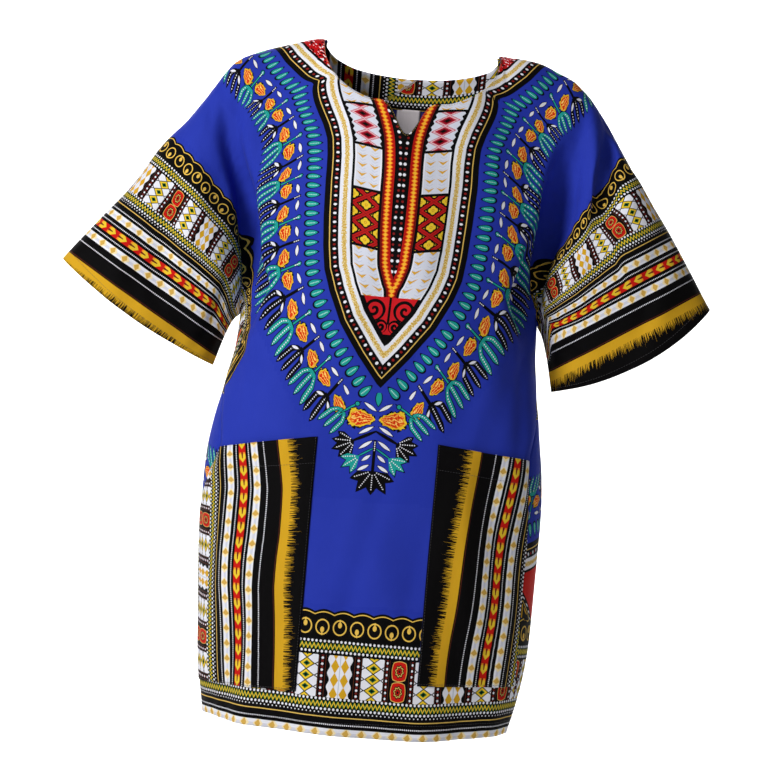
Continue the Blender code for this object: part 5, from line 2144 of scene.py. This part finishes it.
# %% Floor, wall and lights
FLOOR = -1.450
PALE = (0.86, 0.86, 0.86, 1.0)
FLOOR_FROM = -6.0
WALL_AWAY = 4.6
WALL_HIGH = 4.0
BEND = 1.0  # radius of the curve between the floor and the wall
HALF_WIDE = 7.0
FLOOR_SHARE, BEND_SHARE = 0.5, 0.2  # of the sheet's length, and the wall has the rest
bm = bmesh.new()
bmesh.ops.create_grid(bm, x_segments=2, y_segments=48, size=1.0)
for vert in bm.verts:
    share = (vert.co.y + 1.0) / 2
    angle = min(max((share - FLOOR_SHARE) / BEND_SHARE, 0.0), 1.0) * math.pi / 2
    level = min(share, FLOOR_SHARE) / FLOOR_SHARE
    upright = max(share - FLOOR_SHARE - BEND_SHARE, 0.0) / (1.0 - FLOOR_SHARE - BEND_SHARE)
    y = FLOOR_FROM + level * (WALL_AWAY - FLOOR_FROM) + math.sin(angle) * BEND
    z = FLOOR + (1.0 - math.cos(angle)) * BEND + upright * WALL_HIGH
    vert.co = Vector((vert.co.x * HALF_WIDE, y, z))
backdrop_mesh = bpy.data.meshes.new("backdrop")
bm.to_mesh(backdrop_mesh)
bm.free()
backdrop_mesh.shade_smooth()
backdrop = bpy.data.objects.new("backdrop", backdrop_mesh)
bpy.context.scene.collection.objects.link(backdrop)
stage = Dye("pale_backdrop")
stage.node(
    "ShaderNodeOutputMaterial", {},
    {"Surface": stage.node("ShaderNodeBsdfPrincipled", {}, {"Base Color": PALE, "Roughness": 0.9})},
)
backdrop_mesh.materials.append(stage.material)

world = bpy.data.worlds.new("studio")
world.use_nodes = True
world.node_tree.nodes["Background"].inputs["Color"].default_value = (1.0, 1.0, 1.0, 1.0)
world.node_tree.nodes["Background"].inputs["Strength"].default_value = 0.10
bpy.context.scene.world = world
bpy.context.scene.view_settings.view_transform = "Standard"

LAMPS = (  # name, place, size and power
    ("key", -1.9, -2.3, 1.1, 1.0, 93.0),
    ("fill", 2.6, -1.6, 0.4, 1.6, 3.0),
    ("wall", 0.0, 3.2, 2.6, 3.0, 420.0),
    ("back", -1.2, 2.4, 1.2, 1.6, 26.0),
)
for name, x, y, z, size, watts in LAMPS:
    lamp = bpy.data.lights.new(name, "AREA")
    lamp.energy = watts
    lamp.size = size
    lamp_object = bpy.data.objects.new(name, lamp)
    lamp_object.location = (x, y, z)
    aim = Vector((0.0, 0.0, -0.42)) if name != "wall" else Vector((0.0, 5.6, -0.4))
    lamp_object.rotation_euler = (aim - lamp_object.location).to_track_quat("-Z", "Y").to_euler()
    bpy.context.scene.collection.objects.link(lamp_object)


# %% The photographed view
CAMERA_AWAY = 3.2
camera_data = bpy.data.cameras.new("camera")
camera_data.lens = 120.0
camera_data.sensor_width = 36.0
camera = bpy.data.objects.new("camera", camera_data)
camera.location = (-0.001, -CAMERA_AWAY, -0.421)
camera.rotation_euler = (math.radians(90), math.radians(-5), 0.0)
bpy.context.scene.collection.objects.link(camera)
bpy.context.scene.camera = camera
